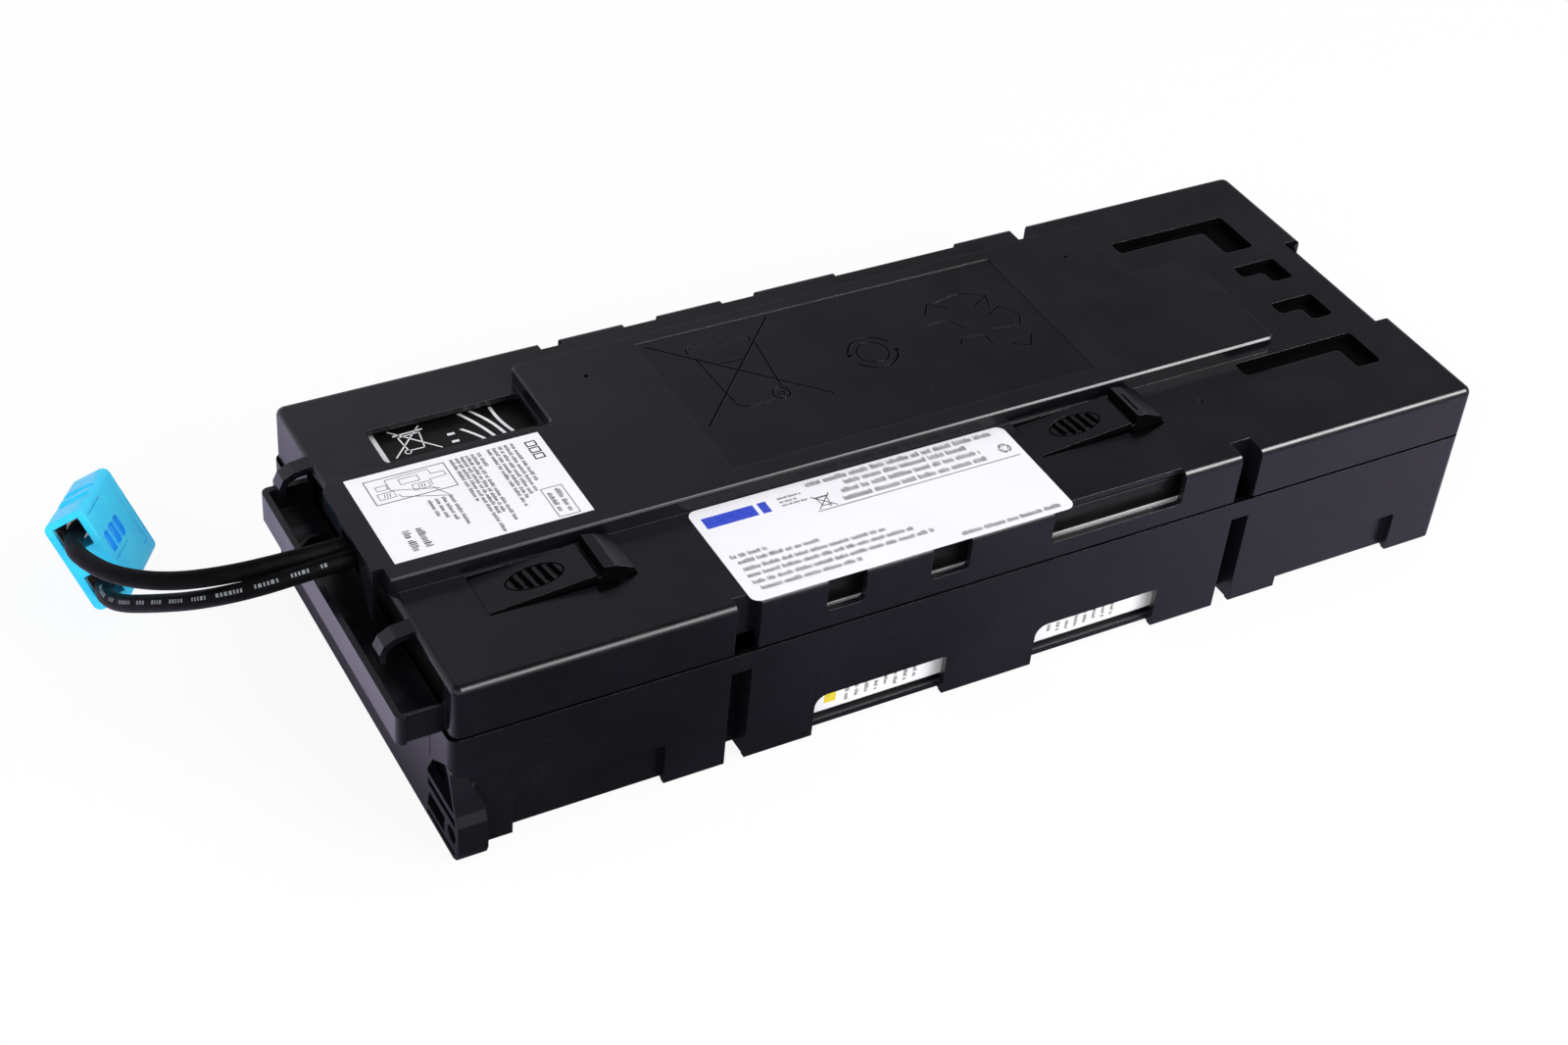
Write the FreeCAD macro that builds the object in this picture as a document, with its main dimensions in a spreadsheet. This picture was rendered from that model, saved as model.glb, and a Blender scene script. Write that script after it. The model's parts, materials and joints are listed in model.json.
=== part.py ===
"""Battery cartridge for a rack power supply: four sealed 12 V blocks in a two-piece moulded case.

Case coordinates: x runs from the cable end to the closed end, y from the front wall to the back
wall, z up from the resting plane.  Every piece is built in case coordinates and then placed by
case_left and case_front, so that the finished part has its origin at the middle of its base.
"""
import FreeCAD, Part
import Sketcher
import math
import os
import re

V = FreeCAD.Vector
doc = FreeCAD.newDocument("battery_cartridge")

# ---------------------------------------------------------------- driving dimensions (mm)
DIMENSIONS = [
    ("case_length", 427.0, "moulded case, end wall to end wall"),
    ("case_width", 165.0, "front wall to back wall"),
    ("parting_level", 51.0, "height of the joint between tray and cover"),
    ("deck_level", 73.5, "main top surface of the cover"),
    ("crown_level", 80.0, "raised wiring channel on the cover"),
    ("wall", 2.4, "moulding wall"),
    ("corner_radius", 3.5, "upright corners of the case"),
    ("edge_radius", 2.8, "top edges of the cover"),
    ("trough_depth", 16.9, "cable trough, out from the end wall"),
    ("trough_front", 5.5, "front of the trough"),
    ("trough_back", 134.0, "back of the trough"),
    ("trough_rim", 63.0, "top of the trough wall"),
    ("foot_nose", 7.0, "corner foot, out from the front wall"),
    ("foot_length", 11.0, "corner foot along the case"),
    ("floor_low", 0.6, "underside of the tray floor"),
    ("floor_high", 3.1, "top of the tray floor"),
    ("window_top", 18.5, "top of the tray windows"),
    ("window_depth", 3.5, "how far the tray windows cut in"),
    ("slot_top", 43.0, "top of the tray slots"),
    ("slot_depth", 9.0, "how far the slots run in"),
    ("slit_sill", 59.4, "sill of the cover windows"),
    ("slit_depth", 3.8, "how far the cover windows cut in"),
    ("channel_front", 52.0, "front of the raised channel"),
    ("channel_back", 147.5, "back of the raised channel"),
    ("channel_step", 111.0, "back of the channel past the step"),
    ("label_back", 110.0, "back of the raised label panel"),
    ("channel_left", 85.0, "left side of the wide part"),
    ("channel_right", 338.0, "right side of the wide part"),
    ("channel_end", 368.0, "right end of the channel"),
    ("lip_reach", 4.2, "lip over the trough"),
    ("lip_front", 58.7, "front end of the lip"),
    ("lip_back", 109.0, "back end of the lip"),
    ("lip_low", 72.5, "lower edge of the lip"),
    ("tab_root", 26.0, "root of the first release tab"),
    ("tab_reach", 53.5, "root to free end of a release tab"),
    ("tab_front", 30.3, "front edge of the release tabs"),
    ("tab_width", 18.5, "width of the release tabs"),
    ("tab_pitch", 219.6, "first tab to second tab"),
    ("tab_gap", 0.1, "gap at the root of a tab"),
    ("block_long", 151.0, "battery block, along y"),
    ("block_tall", 94.0, "battery block, terminal face to base, along x"),
    ("block_thick", 65.0, "battery block, along z"),
    ("block_front", 6.0, "front end of the battery blocks"),
    ("terminal_inset", 20.5, "terminal centre from the end of a block"),
    ("terminal_level", 57.0, "height of the terminals"),
    ("main_lead", 6.5, "outside diameter of the main leads"),
    ("link_lead", 5.0, "outside diameter of the links between blocks"),
    ("lead_level", 72.8, "height of the leads over the blocks"),
    ("plug_wide", 36.6, "connector housing, across both poles"),
    ("plug_thick", 16.0, "connector housing, thickness"),
    ("plug_long", 47.6, "connector housing, wire end to mating end"),
]
sheet = doc.addObject("Spreadsheet::Sheet", "dims")
for row, (alias, number, meaning) in enumerate(DIMENSIONS, start=1):
    sheet.set(f"A{row}", meaning)
    sheet.set(f"B{row}", str(number))
    sheet.setAlias(f"B{row}", alias)
doc.recompute()
ALIAS = re.compile(r"\b(" + "|".join(alias for alias, _, _ in DIMENSIONS) + r")\b")


def dim(alias):
    """Value of one driving dimension."""
    return float(sheet.get(alias))


def bind(item, prop, formula):
    """Bind a property to a formula over the sheet's aliases."""
    item.setExpression(prop, ALIAS.sub(lambda match: "dims." + match.group(0), str(formula)))


# ---------------------------------------------------------------- building blocks
def block(name, x, y, z):
    """Box between a low and a high formula along each axis."""
    solid = doc.addObject("Part::Box", name)
    for side, axis, (low, high) in (("Length", "x", x), ("Width", "y", y), ("Height", "z", z)):
        bind(solid, side, f"({high}) - ({low})")
        bind(solid, "Placement.Base." + axis, low)
    return solid


def edges_where(shape, test):
    """Numbers of the straight edges whose two ends both pass a test."""
    found = []
    for number, edge in enumerate(shape.Edges, start=1):
        ends = [vertex.Point for vertex in edge.Vertexes]
        if len(ends) == 2 and test(*ends):
            found.append(number)
    return found


def upright(low, high):
    """An edge test: the edge stands upright."""
    return abs(low.x - high.x) < 1e-6 and abs(low.y - high.y) < 1e-6


def crossways(first, second):
    """An edge test: the edge runs along y."""
    return abs(first.x - second.x) < 1e-6 and abs(first.z - second.z) < 1e-6


def rounded(name, base, radius, test, kind="Part::Fillet"):
    """Part::Fillet, or Part::Chamfer where asked, on the edges of base that pass the test."""
    doc.recompute()
    dressed = doc.addObject(kind, name)
    dressed.Base = base
    size = dim(radius) if isinstance(radius, str) else radius
    dressed.Edges = [(number, size, size) for number in edges_where(base.Shape, test)]
    return dressed


def chamfered(name, base, size, test):
    """Part::Chamfer on the edges of base that pass the test."""
    return rounded(name, base, size, test, "Part::Chamfer")


def fuse(name, pieces):
    """Union of several solids, with coplanar faces merged."""
    union = doc.addObject("Part::MultiFuse", name)
    union.Shapes = pieces
    union.Refine = True
    return union


def cut(name, base, tools):
    """Base less every tool."""
    tool = tools[0] if len(tools) == 1 else fuse(name + "_tools", tools)
    result = doc.addObject("Part::Cut", name)
    result.Base = base
    result.Tool = tool
    result.Refine = True
    return result


def draw(sketch, loops):
    """Closed loops in a sketch: lists of corner formulas, or (x, y, radius) for a circle."""
    for loop in loops:
        first = sketch.GeometryCount
        if isinstance(loop, tuple):
            centre_x, centre_y, radius = loop
            sketch.addGeometry(Part.Circle(V(1, 1, 0), V(0, 0, 1), 1.0))
            named_position(sketch, first, 3, centre_x, centre_y)
            number = sketch.addConstraint(Sketcher.Constraint("Radius", first, 1.0))
            sketch.renameConstraint(number, f"radius_{number}")
            bind(sketch, f"Constraints.radius_{number}", radius)
            continue
        count = len(loop)
        corners = [V(math.cos(2 * math.pi * i / count), math.sin(2 * math.pi * i / count), 0) * 50
                   for i in range(count)]
        for i in range(count):
            sketch.addGeometry(Part.LineSegment(corners[i], corners[(i + 1) % count]))
        for i in range(count):
            following = first + (i + 1) % count
            sketch.addConstraint(Sketcher.Constraint("Coincident", first + i, 2, following, 1))
        for i, (x, y) in enumerate(loop):
            named_position(sketch, first + i, 1, x, y)


def named_position(sketch, geometry, point, x, y):
    """Tie one point of a sketch to two formulas."""
    for kind, formula in (("DistanceX", x), ("DistanceY", y)):
        number = sketch.addConstraint(Sketcher.Constraint(kind, -1, 1, geometry, point, 1.0))
        sketch.renameConstraint(number, f"{kind}_{number}")
        bind(sketch, f"Constraints.{kind}_{number}", formula)


def prism(name, plane, loops, low, high):
    """Sketch swept between two formulas: plane XY along z, XZ along y, YZ along x."""
    sketch = doc.addObject("Sketcher::SketchObject", name + "_sketch")
    draw(sketch, loops)
    turn, direction, axis = {
        "XY": (FreeCAD.Rotation(), V(0, 0, 1), "z"),
        "XZ": (FreeCAD.Rotation(V(1, 0, 0), 90), V(0, 1, 0), "y"),
        "YZ": (FreeCAD.Rotation(V(1, 1, 1), 120), V(1, 0, 0), "x"),
    }[plane]
    sketch.Placement = FreeCAD.Placement(V(0, 0, 0), turn)
    bind(sketch, "Placement.Base." + axis, low)
    solid = doc.addObject("Part::Extrusion", name)
    solid.Base = sketch
    solid.DirMode = "Custom"
    solid.Dir = direction
    solid.Solid = True
    bind(solid, "LengthFwd", f"({high}) - ({low})")
    return solid


def plane_of(body, role):
    """One of a body's own origin planes."""
    return next(item for item in body.Origin.OriginFeatures if item.Role == role)


def body_sketch(body, name, role, loops, offset="0"):
    """Sketch attached to an origin plane of a body, at an offset along its normal."""
    sketch = body.newObject("Sketcher::SketchObject", name)
    sketch.AttachmentSupport = (plane_of(body, role), [""])
    sketch.MapMode = "FlatFace"
    bind(sketch, "AttachmentOffset.Base.z", offset)
    draw(sketch, loops)
    return sketch


def pad(body, sketch, length, flip=False):
    """PartDesign pad of a sketch."""
    feature = body.newObject("PartDesign::Pad", sketch.Name + "_pad")
    feature.Profile = sketch
    feature.Reversed = flip
    bind(feature, "Length", length)
    sketch.Visibility = False
    return feature


def pocket(body, sketch, length, flip=False):
    """PartDesign pocket of a sketch; it has to take material away."""
    doc.recompute()
    before = body.Shape.Volume
    feature = body.newObject("PartDesign::Pocket", sketch.Name + "_pocket")
    feature.Profile = sketch
    feature.Reversed = flip
    bind(feature, "Length", length)
    sketch.Visibility = False
    doc.recompute()
    if body.Shape.Volume > before - 1e-6:
        raise RuntimeError(sketch.Name + " cuts nothing")
    return feature


def dress_edges(body, kind, test):
    """PartDesign::Fillet or PartDesign::Chamfer on the edges of the body's tip that pass the test."""
    doc.recompute()
    tip = body.Tip
    feature = body.newObject(kind, tip.Name + "_edges")
    feature.Base = (tip, [f"Edge{number}" for number in edges_where(tip.Shape, test)])
    return feature


def soften(body, radius, test):
    """Round the edges of the body's tip that pass the test."""
    dress_edges(body, "PartDesign::Fillet", test).Radius = radius


def break_edges(body, size, test):
    """Chamfer the edges of the body's tip that pass the test."""
    dress_edges(body, "PartDesign::Chamfer", test).Size = size


def rectangle(x, y):
    """Corner formulas of a rectangle."""
    return [(x[0], y[0]), (x[1], y[0]), (x[1], y[1]), (x[0], y[1])]


def body(name):
    """New PartDesign body."""
    return doc.addObject("PartDesign::Body", name)


NODES = {}


def keep(name, item):
    """Make an object a node: give it its label and put it in the part's own frame."""
    item.Label = name
    NODES[name] = item
    return item


def both_walls(name, x, depth, z):
    """Tool that cuts the front wall and the back wall alike."""
    return [block(name + "_front", x, ("-1", depth), z),
            block(name + "_back", x, (f"case_width - ({depth})", "case_width + 1"), z)]


def both_inside(name, x, y, z):
    """Block inside the front wall and its mirror image inside the back wall."""
    low, high = y
    return [block(name + "_front", x, y, z),
            block(name + "_back", x, (f"case_width - ({high})", f"case_width - ({low})"), z)]


# ---------------------------------------------------------------- lower tray
TRAY_END = "-1"                                     # the tray's cable end stands 1 mm proud
TRAY_WINDOWS = [("139", "194"), ("233", "288")]     # open, they show the end labels
TRAY_RECESSES = [("22", "79.5"), ("347", "403")]    # closed by an inset panel
TRAY_SLOTS = [("103.4", "111.4"), ("317", "325")]   # line up with the gaps between the blocks
WINDOW_NEAR_CORNER, WINDOW_FAR_CORNER = 5.0, 1.5    # upper corners of a tray window
ROOM_CORNER = 1.5                                   # upright corners inside tray and cover


def make_foot():
    """Ribbed corner foot, open to the cable end, with a pin socket through its ribs."""
    outer = [("-2.8", "0"), ("-5.6", "1.6"), ("-foot_nose", "5"), ("-foot_nose", "12"),
             ("-6.4", "17"), ("-4.6", "21"), ("0.6", "36"), ("2.4", "38.5"), ("4.5", "38.5"),
             ("4.5", "0")]
    ramp = prism("foot_blank", "YZ", [outer], TRAY_END, f"{TRAY_END} + foot_length")
    beyond = prism("foot_beyond", "XZ", [[("2.9", "39.5"), ("9.8", "22"), ("foot_length", "22"),
                                          ("foot_length", "40"), ("2.9", "40")]], "-foot_nose - 1", "0")
    return cut("foot_outer", ramp, [beyond])


def foot_pockets():
    """Pockets between the ribs of the foot, cut from the cable end."""
    ribs = {
        "foot_under": [("-3", "1.5"), ("19.5", "1.5"), ("19.5", "3.4"), ("-4.8", "3.4")],
        "foot_middle": [("5.2", "5.2"), ("19.6", "5.2"), ("18", "12.6"), ("4.6", "12.6")],
        "foot_band": [("-4.6", "15.6"), ("18.8", "15.6"), ("19.4", "18.8"), ("-3.8", "18.8")],
        "foot_top": [("-3.2", "21"), ("19.4", "21"), ("19.4", "22.8"), ("14.7", "31"),
                     ("4", "38"), ("1.6", "35")],
    }
    tools = [prism(name, "YZ", [loop], f"{TRAY_END} - 1", f"{TRAY_END} + foot_length - 1.6")
             for name, loop in ribs.items()]
    tools.append(prism("foot_socket", "YZ", [("-1.3", "10.1", "3.4")],
                       f"{TRAY_END} - 1", f"{TRAY_END} + foot_length - 1.6"))
    return tools


def make_tray():
    outer = rounded("tray_outer", block("tray_blank", (TRAY_END, "case_length"),
                                        ("0", "case_width"), ("0", "parting_level")),
                    "corner_radius", upright)
    hollow = [
        rounded("tray_hollow", block("tray_room", ("wall", "case_length - wall"),
                                     ("wall", "case_width - wall"), ("floor_high", "parting_level + 1")),
                ROOM_CORNER, upright),
        block("tray_under", ("wall", "case_length - wall"), ("wall", "case_width - wall"),
              ("-1", "floor_low")),
    ]
    for number, x in enumerate(TRAY_WINDOWS + TRAY_RECESSES, start=1):
        middle = (float(x[0]) + float(x[1])) / 2
        for tool in both_walls(f"tray_window_{number}", x, "window_depth", ("-1", "window_top")):
            near = rounded(tool.Name + "_near", tool, WINDOW_NEAR_CORNER,
                           lambda a, b, middle=middle: crossways(a, b) and a.z > 1 and a.x < middle)
            hollow.append(rounded(tool.Name + "_soft", near, WINDOW_FAR_CORNER,
                                  lambda a, b, middle=middle: crossways(a, b) and a.z > 17 and a.x > middle))
    shell = cut("tray_shell", outer, hollow)
    added = [shell]
    for number, (low, high) in enumerate(TRAY_RECESSES, start=1):
        added += both_inside(f"inset_panel_{number}", (f"{low} - wall", f"{high} + wall"),
                             ("window_depth", "window_depth + 2.3"), ("floor_low", "window_top + wall"))
        added += both_inside(f"inset_ledge_{number}", (f"{low} - wall", f"{high} + wall"),
                             ("wall - 0.5", "window_depth + 1"), ("window_top", "window_top + wall"))
        for side, x in (("left", (f"{low} - wall", low)), ("right", (high, f"{high} + wall"))):
            added += both_inside(f"inset_{side}_{number}", x, ("wall - 0.5", "window_depth + 1"),
                                 ("floor_low", "window_top + wall"))
    for number, (low, high) in enumerate(TRAY_SLOTS, start=1):
        added += both_inside(f"slot_wall_{number}", (f"{low} - 1.8", f"{high} + 1.8"),
                             ("wall - 0.5", "slot_depth + 1.8"), ("floor_low", "slot_top + 1.8"))
    added.append(make_foot())
    added.append(block("foot_backing", ("wall - 0.5", "foot_length"), ("wall - 0.5", "block_front - 0.6"),
                       ("floor_low", "40")))
    slots = []
    for number, x in enumerate(TRAY_SLOTS, start=1):
        slots += both_walls(f"slot_{number}", x, "slot_depth", ("-1", "slot_top"))
    seam = block("end_seam", (f"{TRAY_END} - 1", f"{TRAY_END} + 0.4"), ("16.7", "17.3"), ("31", "49"))
    return cut("lower_tray", fuse("tray_body", added), slots + foot_pockets() + [seam])


keep("lower_tray", make_tray())

# ---------------------------------------------------------------- upper cover
COVER_SLITS = [("139", "154.5"), ("181.3", "197.3"), ("232.2", "290")]
COVER_NOTCHES = [("103.7", "113", "5"), ("315.7", "324.8", "9")]
RELIEFS = {                                        # L-shaped recesses in the closed end's deck
    "relief_1": [("349.5", "131.3"), ("391", "131.3"), ("391", "115"), ("405.2", "115"),
                 ("405.2", "138.6"), ("349.5", "138.6")],
    "relief_2": [("387", "97.6"), ("397", "97.6"), ("397", "90.5"), ("407.3", "90.5"),
                 ("407.3", "105"), ("387", "105")],
    "relief_3": [("386", "70.6"), ("396", "70.6"), ("396", "62.8"), ("406.3", "62.8"),
                 ("406.3", "78"), ("386", "78")],
    "relief_4": [("347.5", "41.8"), ("392.5", "41.8"), ("392.5", "29.4"), ("404.2", "29.4"),
                 ("404.2", "49.8"), ("347.5", "49.8")],
}
RELIEF_FLOOR = "69.5"
RELIEF_CORNER = 1.2                                # corners of the reliefs, cut off
CROWN_CORNER, CROWN_EDGE = 3.0, 0.8                # upright corners and broken top edge of the channel
TROUGH_CORNER = 3.0
SLIT_CORNER = 2.0
TOP_WINDOW_CORNER = 2.2
DIMPLES = [("321.3", "35.3", "deck_level"), ("326.6", "137.7", "deck_level"),
           ("108.2", "130.4", "crown_level"), ("320.6", "130.2", "crown_level")]
DIMPLE_RADIUS, DIMPLE_DEPTH, DIMPLE_SIDES = 1.1, 0.8, 8
FINGERS = [("33", "39.5"), ("127.2", "133.5")]     # bent fingers over the trough
EXIT_NOTCH = ("71.5", "86.5")                      # where the two leads leave


def channel_outline(inset):
    """Outline of the raised channel, inset by a wall where asked."""
    return [(f"{inset}", f"channel_front + {inset}"),
            (f"channel_end - {inset}", f"channel_front + {inset}"),
            (f"channel_end - {inset}", f"channel_step - {inset}"),
            (f"channel_right - {inset}", f"channel_step - {inset}"),
            (f"channel_right - {inset}", f"channel_back - {inset}"),
            (f"channel_left + {inset}", f"channel_back - {inset}"),
            (f"channel_left + {inset}", f"label_back - {inset}"),
            (f"{inset}", f"label_back - {inset}")]


def make_crown():
    """Raised channel with the label panel, its corners rounded and its top edge broken."""
    raised = prism("crown_blank", "XY", [channel_outline("0")], "deck_level - 1", "crown_level")
    corners = rounded("crown_corners", raised, CROWN_CORNER,
                      lambda a, b: upright(a, b) and a.x > 10)
    return chamfered("crown", corners, CROWN_EDGE,
                     lambda a, b: min(a.z, b.z) > dim("crown_level") - 1e-3 and max(a.x, b.x) > 1)


def make_lip():
    """Lip that carries the label panel out over the trough, with the lead exit notched in it."""
    top = prism("lip_top", "XY", [[("wall", "lip_front"), ("-lip_reach", "lip_front"),
                                   ("-lip_reach", "104"), ("-1", "lip_back"), ("wall", "lip_back")]],
                "lip_low", "crown_level")
    room = block("lip_room", ("-lip_reach + 2", "wall + 1"), ("lip_front + 2", "lip_back - 4"),
                 ("lip_low - 1", "crown_level - wall"))
    notch = block("exit_notch", ("-lip_reach - 1", "wall"), EXIT_NOTCH,
                  ("lip_low - 1", "crown_level - wall"))
    gusset = prism("lip_gusset", "YZ", [[("lip_front", "lip_low + 1"), ("lip_front", "57"),
                                         ("lip_front + 2", "57"), ("lip_front + 12.5", "lip_low + 1")]],
                   "-lip_reach", "-lip_reach + 2")
    return cut("lip", fuse("lip_solid", [top, gusset]), [room, notch])


def make_finger(number, y):
    """Bent finger that holds the leads down in the trough, and the post below its tip."""
    arm = [("1", "73"), ("-6", "72"), ("-10.3", "69.6"), ("-12", "66"), ("-12", "62.4"),
           ("-9.6", "62.4"), ("-9.4", "66"), ("-8", "68"), ("-5", "69.4"), ("1", "70")]
    post = [("-14.8", "53"), ("-14.8", "60"), ("-12.4", "58"), ("-12.4", "53")]
    return [prism(f"finger_{number}", "XZ", [arm], *y), prism(f"finger_post_{number}", "XZ", [post], *y)]


def make_trough():
    """Open trough for the leads: floor, outer wall and two end walls."""
    outer = rounded("trough_outer", block("trough_blank", ("-trough_depth", "wall"),
                                          ("trough_front", "trough_back"),
                                          ("parting_level", "trough_rim")),
                    TROUGH_CORNER, lambda a, b: upright(a, b) and a.x < -1)
    room = block("trough_room", ("-trough_depth + wall", "wall + 1"),
                 ("trough_front + wall", "trough_back - wall"), ("parting_level + 2.2", "trough_rim + 1"))
    step = block("trough_step", ("-trough_depth + 3.1", "0"), ("trough_front - 1", "trough_front + 1.2"),
                 ("parting_level - 1", "trough_rim + 1"))
    rib = prism("trough_rib", "XY", [[("-12.8", "105.4"), ("-7.6", "109.7"), ("1", "110"), ("1", "111.6"),
                                      ("-8.1", "111.3"), ("-13.8", "106.7")]],
                "parting_level + 2", "parting_level + 5.2")
    return fuse("trough_ribbed", [cut("trough", outer, [room, step]), rib])


def tab_openings():
    """Openings in the deck round the two release tabs."""
    tools = []
    for number in (0, 1):
        shift = f"tab_pitch * {number}"
        outline = [(f"tab_root - tab_gap + {shift}", "tab_front - 1"), (f"64.3 + {shift}", "tab_front - 1"),
                   (f"64.3 + {shift}", "tab_front - 4.9"), (f"69.4 + {shift}", "tab_front - 4.5"),
                   (f"tab_root + tab_reach + 1 + {shift}", "tab_front - 1"),
                   (f"tab_root + tab_reach + 1 + {shift}", "channel_front - 1"),
                   (f"tab_root - tab_gap + {shift}", "channel_front - 1")]
        tools.append(prism(f"tab_opening_{number + 1}", "XY", [outline], "deck_level - wall - 1",
                           "deck_level + 1"))
    return tools


def dimple_outline(x, y):
    """Regular polygon round the centre of a dimple."""
    turns = [2 * math.pi * corner / DIMPLE_SIDES for corner in range(DIMPLE_SIDES)]
    return [(f"{x} + {DIMPLE_RADIUS * math.cos(turn):.3f}", f"{y} + {DIMPLE_RADIUS * math.sin(turn):.3f}")
            for turn in turns]


def make_cover():
    blank = block("cover_blank", ("0", "case_length"), ("0", "case_width"),
                  ("parting_level", "deck_level"))
    outer = rounded("cover_outer", rounded("cover_corners", blank, "corner_radius", upright),
                    "edge_radius", lambda a, b: min(a.z, b.z) > dim("deck_level") - 1e-3)
    solid = fuse("cover_solid", [outer, make_crown(), make_trough()])
    room = rounded("cover_room", block("cover_inside", ("wall", "case_length - wall"),
                                       ("wall", "case_width - wall"),
                                       ("parting_level - 1", "deck_level - wall")),
                   ROOM_CORNER, upright)
    channel_room = prism("channel_room", "XY", [channel_outline("wall")],
                         "deck_level - wall - 1", "crown_level - wall")
    end_opening = block("end_opening", ("-0.1", "wall + 1"), ("trough_front + wall", "trough_back - wall"),
                        ("parting_level + 2.2", "deck_level - wall"))
    lead_way = block("lead_way", ("-1", "wall + 1"), ("lip_front + 2", "lip_back - 4"),
                     ("deck_level - wall - 1", "crown_level - wall"))
    slits = []
    for number, x in enumerate(COVER_SLITS, start=1):
        for tool in both_walls(f"slit_{number}", x, "slit_depth", ("slit_sill", "deck_level + 1")):
            slits.append(rounded(tool.Name + "_soft", tool, SLIT_CORNER,
                                 lambda a, b: abs(a.z - b.z) < 1e-6 and abs(a.x - b.x) < 1e-6
                                 and a.z < dim("deck_level")))
    top_window = rounded("top_window", block("top_window_blank", ("24.5", "channel_left - 0.6"),
                                             ("118", "138.5"), ("deck_level - 4", "deck_level + 1")),
                         TOP_WINDOW_CORNER, upright)
    shell = cut("cover_shell", solid, [room, channel_room, end_opening, lead_way, top_window] + slits
                + tab_openings())
    under = "block_thick + floor_high + 0.3"       # just clear of the tops of the blocks
    added = [shell, make_lip()]
    for number, y in enumerate(FINGERS, start=1):
        added += make_finger(number, y)
    for number, (low, high, depth) in enumerate(COVER_NOTCHES, start=1):
        added += both_inside(f"notch_wall_{number}", (f"{low} - 2", f"{high} + 2"),
                             ("wall - 0.5", f"{depth} + 2"), ("56", "deck_level - 1"))
    for name, loop in RELIEFS.items():
        xs = [float(x) for x, _ in loop]
        ys = [float(y) for _, y in loop]
        added.append(block(name + "_backing", (min(xs) - 2, max(xs) + 2), (min(ys) - 2, max(ys) + 2),
                           (under, "deck_level - wall + 0.5")))
    added.append(block("drop_backing", ("414", "case_length - wall + 0.5"), ("50", "114"),
                       (under, "deck_level - wall - 0.2")))
    added.append(block("drop_backing_end", ("422.4", "case_length - wall + 0.5"), ("50", "114"),
                       ("60", "deck_level - wall - 0.2")))
    body_solid = fuse("cover_body", added)
    tools = [chamfered(name + "_corners", prism(name, "XY", [loop], RELIEF_FLOOR, "deck_level + 1"),
                       RELIEF_CORNER, upright) for name, loop in RELIEFS.items()]
    for number, (low, high, depth) in enumerate(COVER_NOTCHES, start=1):
        tools += both_walls(f"notch_{number}", (low, high), depth, ("parting_level - 1", "deck_level + 1"))
    tools.append(prism("end_chamfer", "XZ", [[("418.5", "deck_level"), ("418.5", "deck_level + 5"),
                                             ("case_length + 1", "deck_level + 5"),
                                             ("case_length + 1", "66"), ("case_length", "66.9")]],
                       "52", "112"))
    for number, (x, y, level) in enumerate(DIMPLES, start=1):
        tools.append(prism(f"dimple_{number}", "XY", [dimple_outline(x, y)], f"{level} - {DIMPLE_DEPTH}",
                           f"{level} + 1"))
    return cut("upper_cover", body_solid, tools)


keep("upper_cover", make_cover())


# ---------------------------------------------------------------- release tabs
RAMP_RUN, RAMP_RISE = 39.4, 3.5                     # the ramp from the root of a tab to its wedge
GRIP_X, GRIP_Y = 20.6, 10.4                         # middle of the thumb pad, from the root and the front
RIBS, RIB_PITCH, RIB_WIDTH = 5, 3.6, 1.5
GRIP_HALF, GRIP_SPAN = 4.7, 2.7                     # the pad's oval: half width, and half length in ribs


def make_tab(number):
    """Sprung tab: a ramp from its root, an oval ribbed thumb pad, and a wedge with a catch face."""
    tab = body(f"tab_body_{number}")
    x = f"tab_root + tab_pitch * {number - 1}"
    profile = [(x, "deck_level - wall"), (f"{x} + {RAMP_RUN}", "74.6"), (f"{x} + 41", "73"),
               (f"{x} + tab_reach", "73"), (f"{x} + tab_reach", "76"), (f"{x} + 49.6", "77.6"),
               (f"{x} + 46", "79.2"), (f"{x} + 41.6", "crown_level"), (f"{x} + 41.2", "75.6"),
               (f"{x} + {RAMP_RUN}", "75.6"), (f"{x} + {RAMP_RUN}", f"deck_level + {RAMP_RISE}"),
               (x, "deck_level")]
    pad(tab, body_sketch(tab, f"tab_profile_{number}", "XZ_Plane", [profile], "-tab_front"),
        "tab_width", flip=True)
    for rib in range(RIBS):
        place = rib - (RIBS - 1) / 2
        half = GRIP_HALF * math.sqrt(1 - (place / GRIP_SPAN) ** 2)
        run = GRIP_X + place * RIB_PITCH
        centre = f"{x} + {run:.2f}"
        middle = f"tab_front + {GRIP_Y}"
        loop = rectangle((f"{centre} - {RIB_WIDTH / 2}", f"{centre} + {RIB_WIDTH / 2}"),
                         (f"{middle} - {half:.2f}", f"{middle} + {half:.2f}"))
        rise = f"deck_level + {RAMP_RISE * run / RAMP_RUN:.3f}"
        pocket(tab, body_sketch(tab, f"grip_{number}_{rib + 1}", "XY_Plane", [loop], f"{rise} - 0.9"),
               "4", flip=True)
    if number == 2:
        groove = rectangle((f"{x} + 43.4", f"{x} + 44.3"), ("tab_front + 3.5", "tab_front + 14.1"))
        pocket(tab, body_sketch(tab, "wedge_groove", "XY_Plane", [groove], "78.4"), "4", flip=True)
    return tab


for number in (1, 2):
    keep(f"release_tab_{number}", make_tab(number))

# ---------------------------------------------------------------- battery blocks and their terminals
BLOCKS = [("4", 1), ("119.5", -1), ("213.6", 1), ("327.7", -1)]     # left side, way the terminals face
BLOCK_CORNER = 1.5
BLADE_LONG, BLADE_WIDE, BLADE_THICK = 7.9, 6.3, 0.8
SLEEVE_NEAR, SLEEVE_FAR, SLEEVE_HALF = 0.6, 9.2, 4.4                # reach in front of the face, half width


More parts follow.
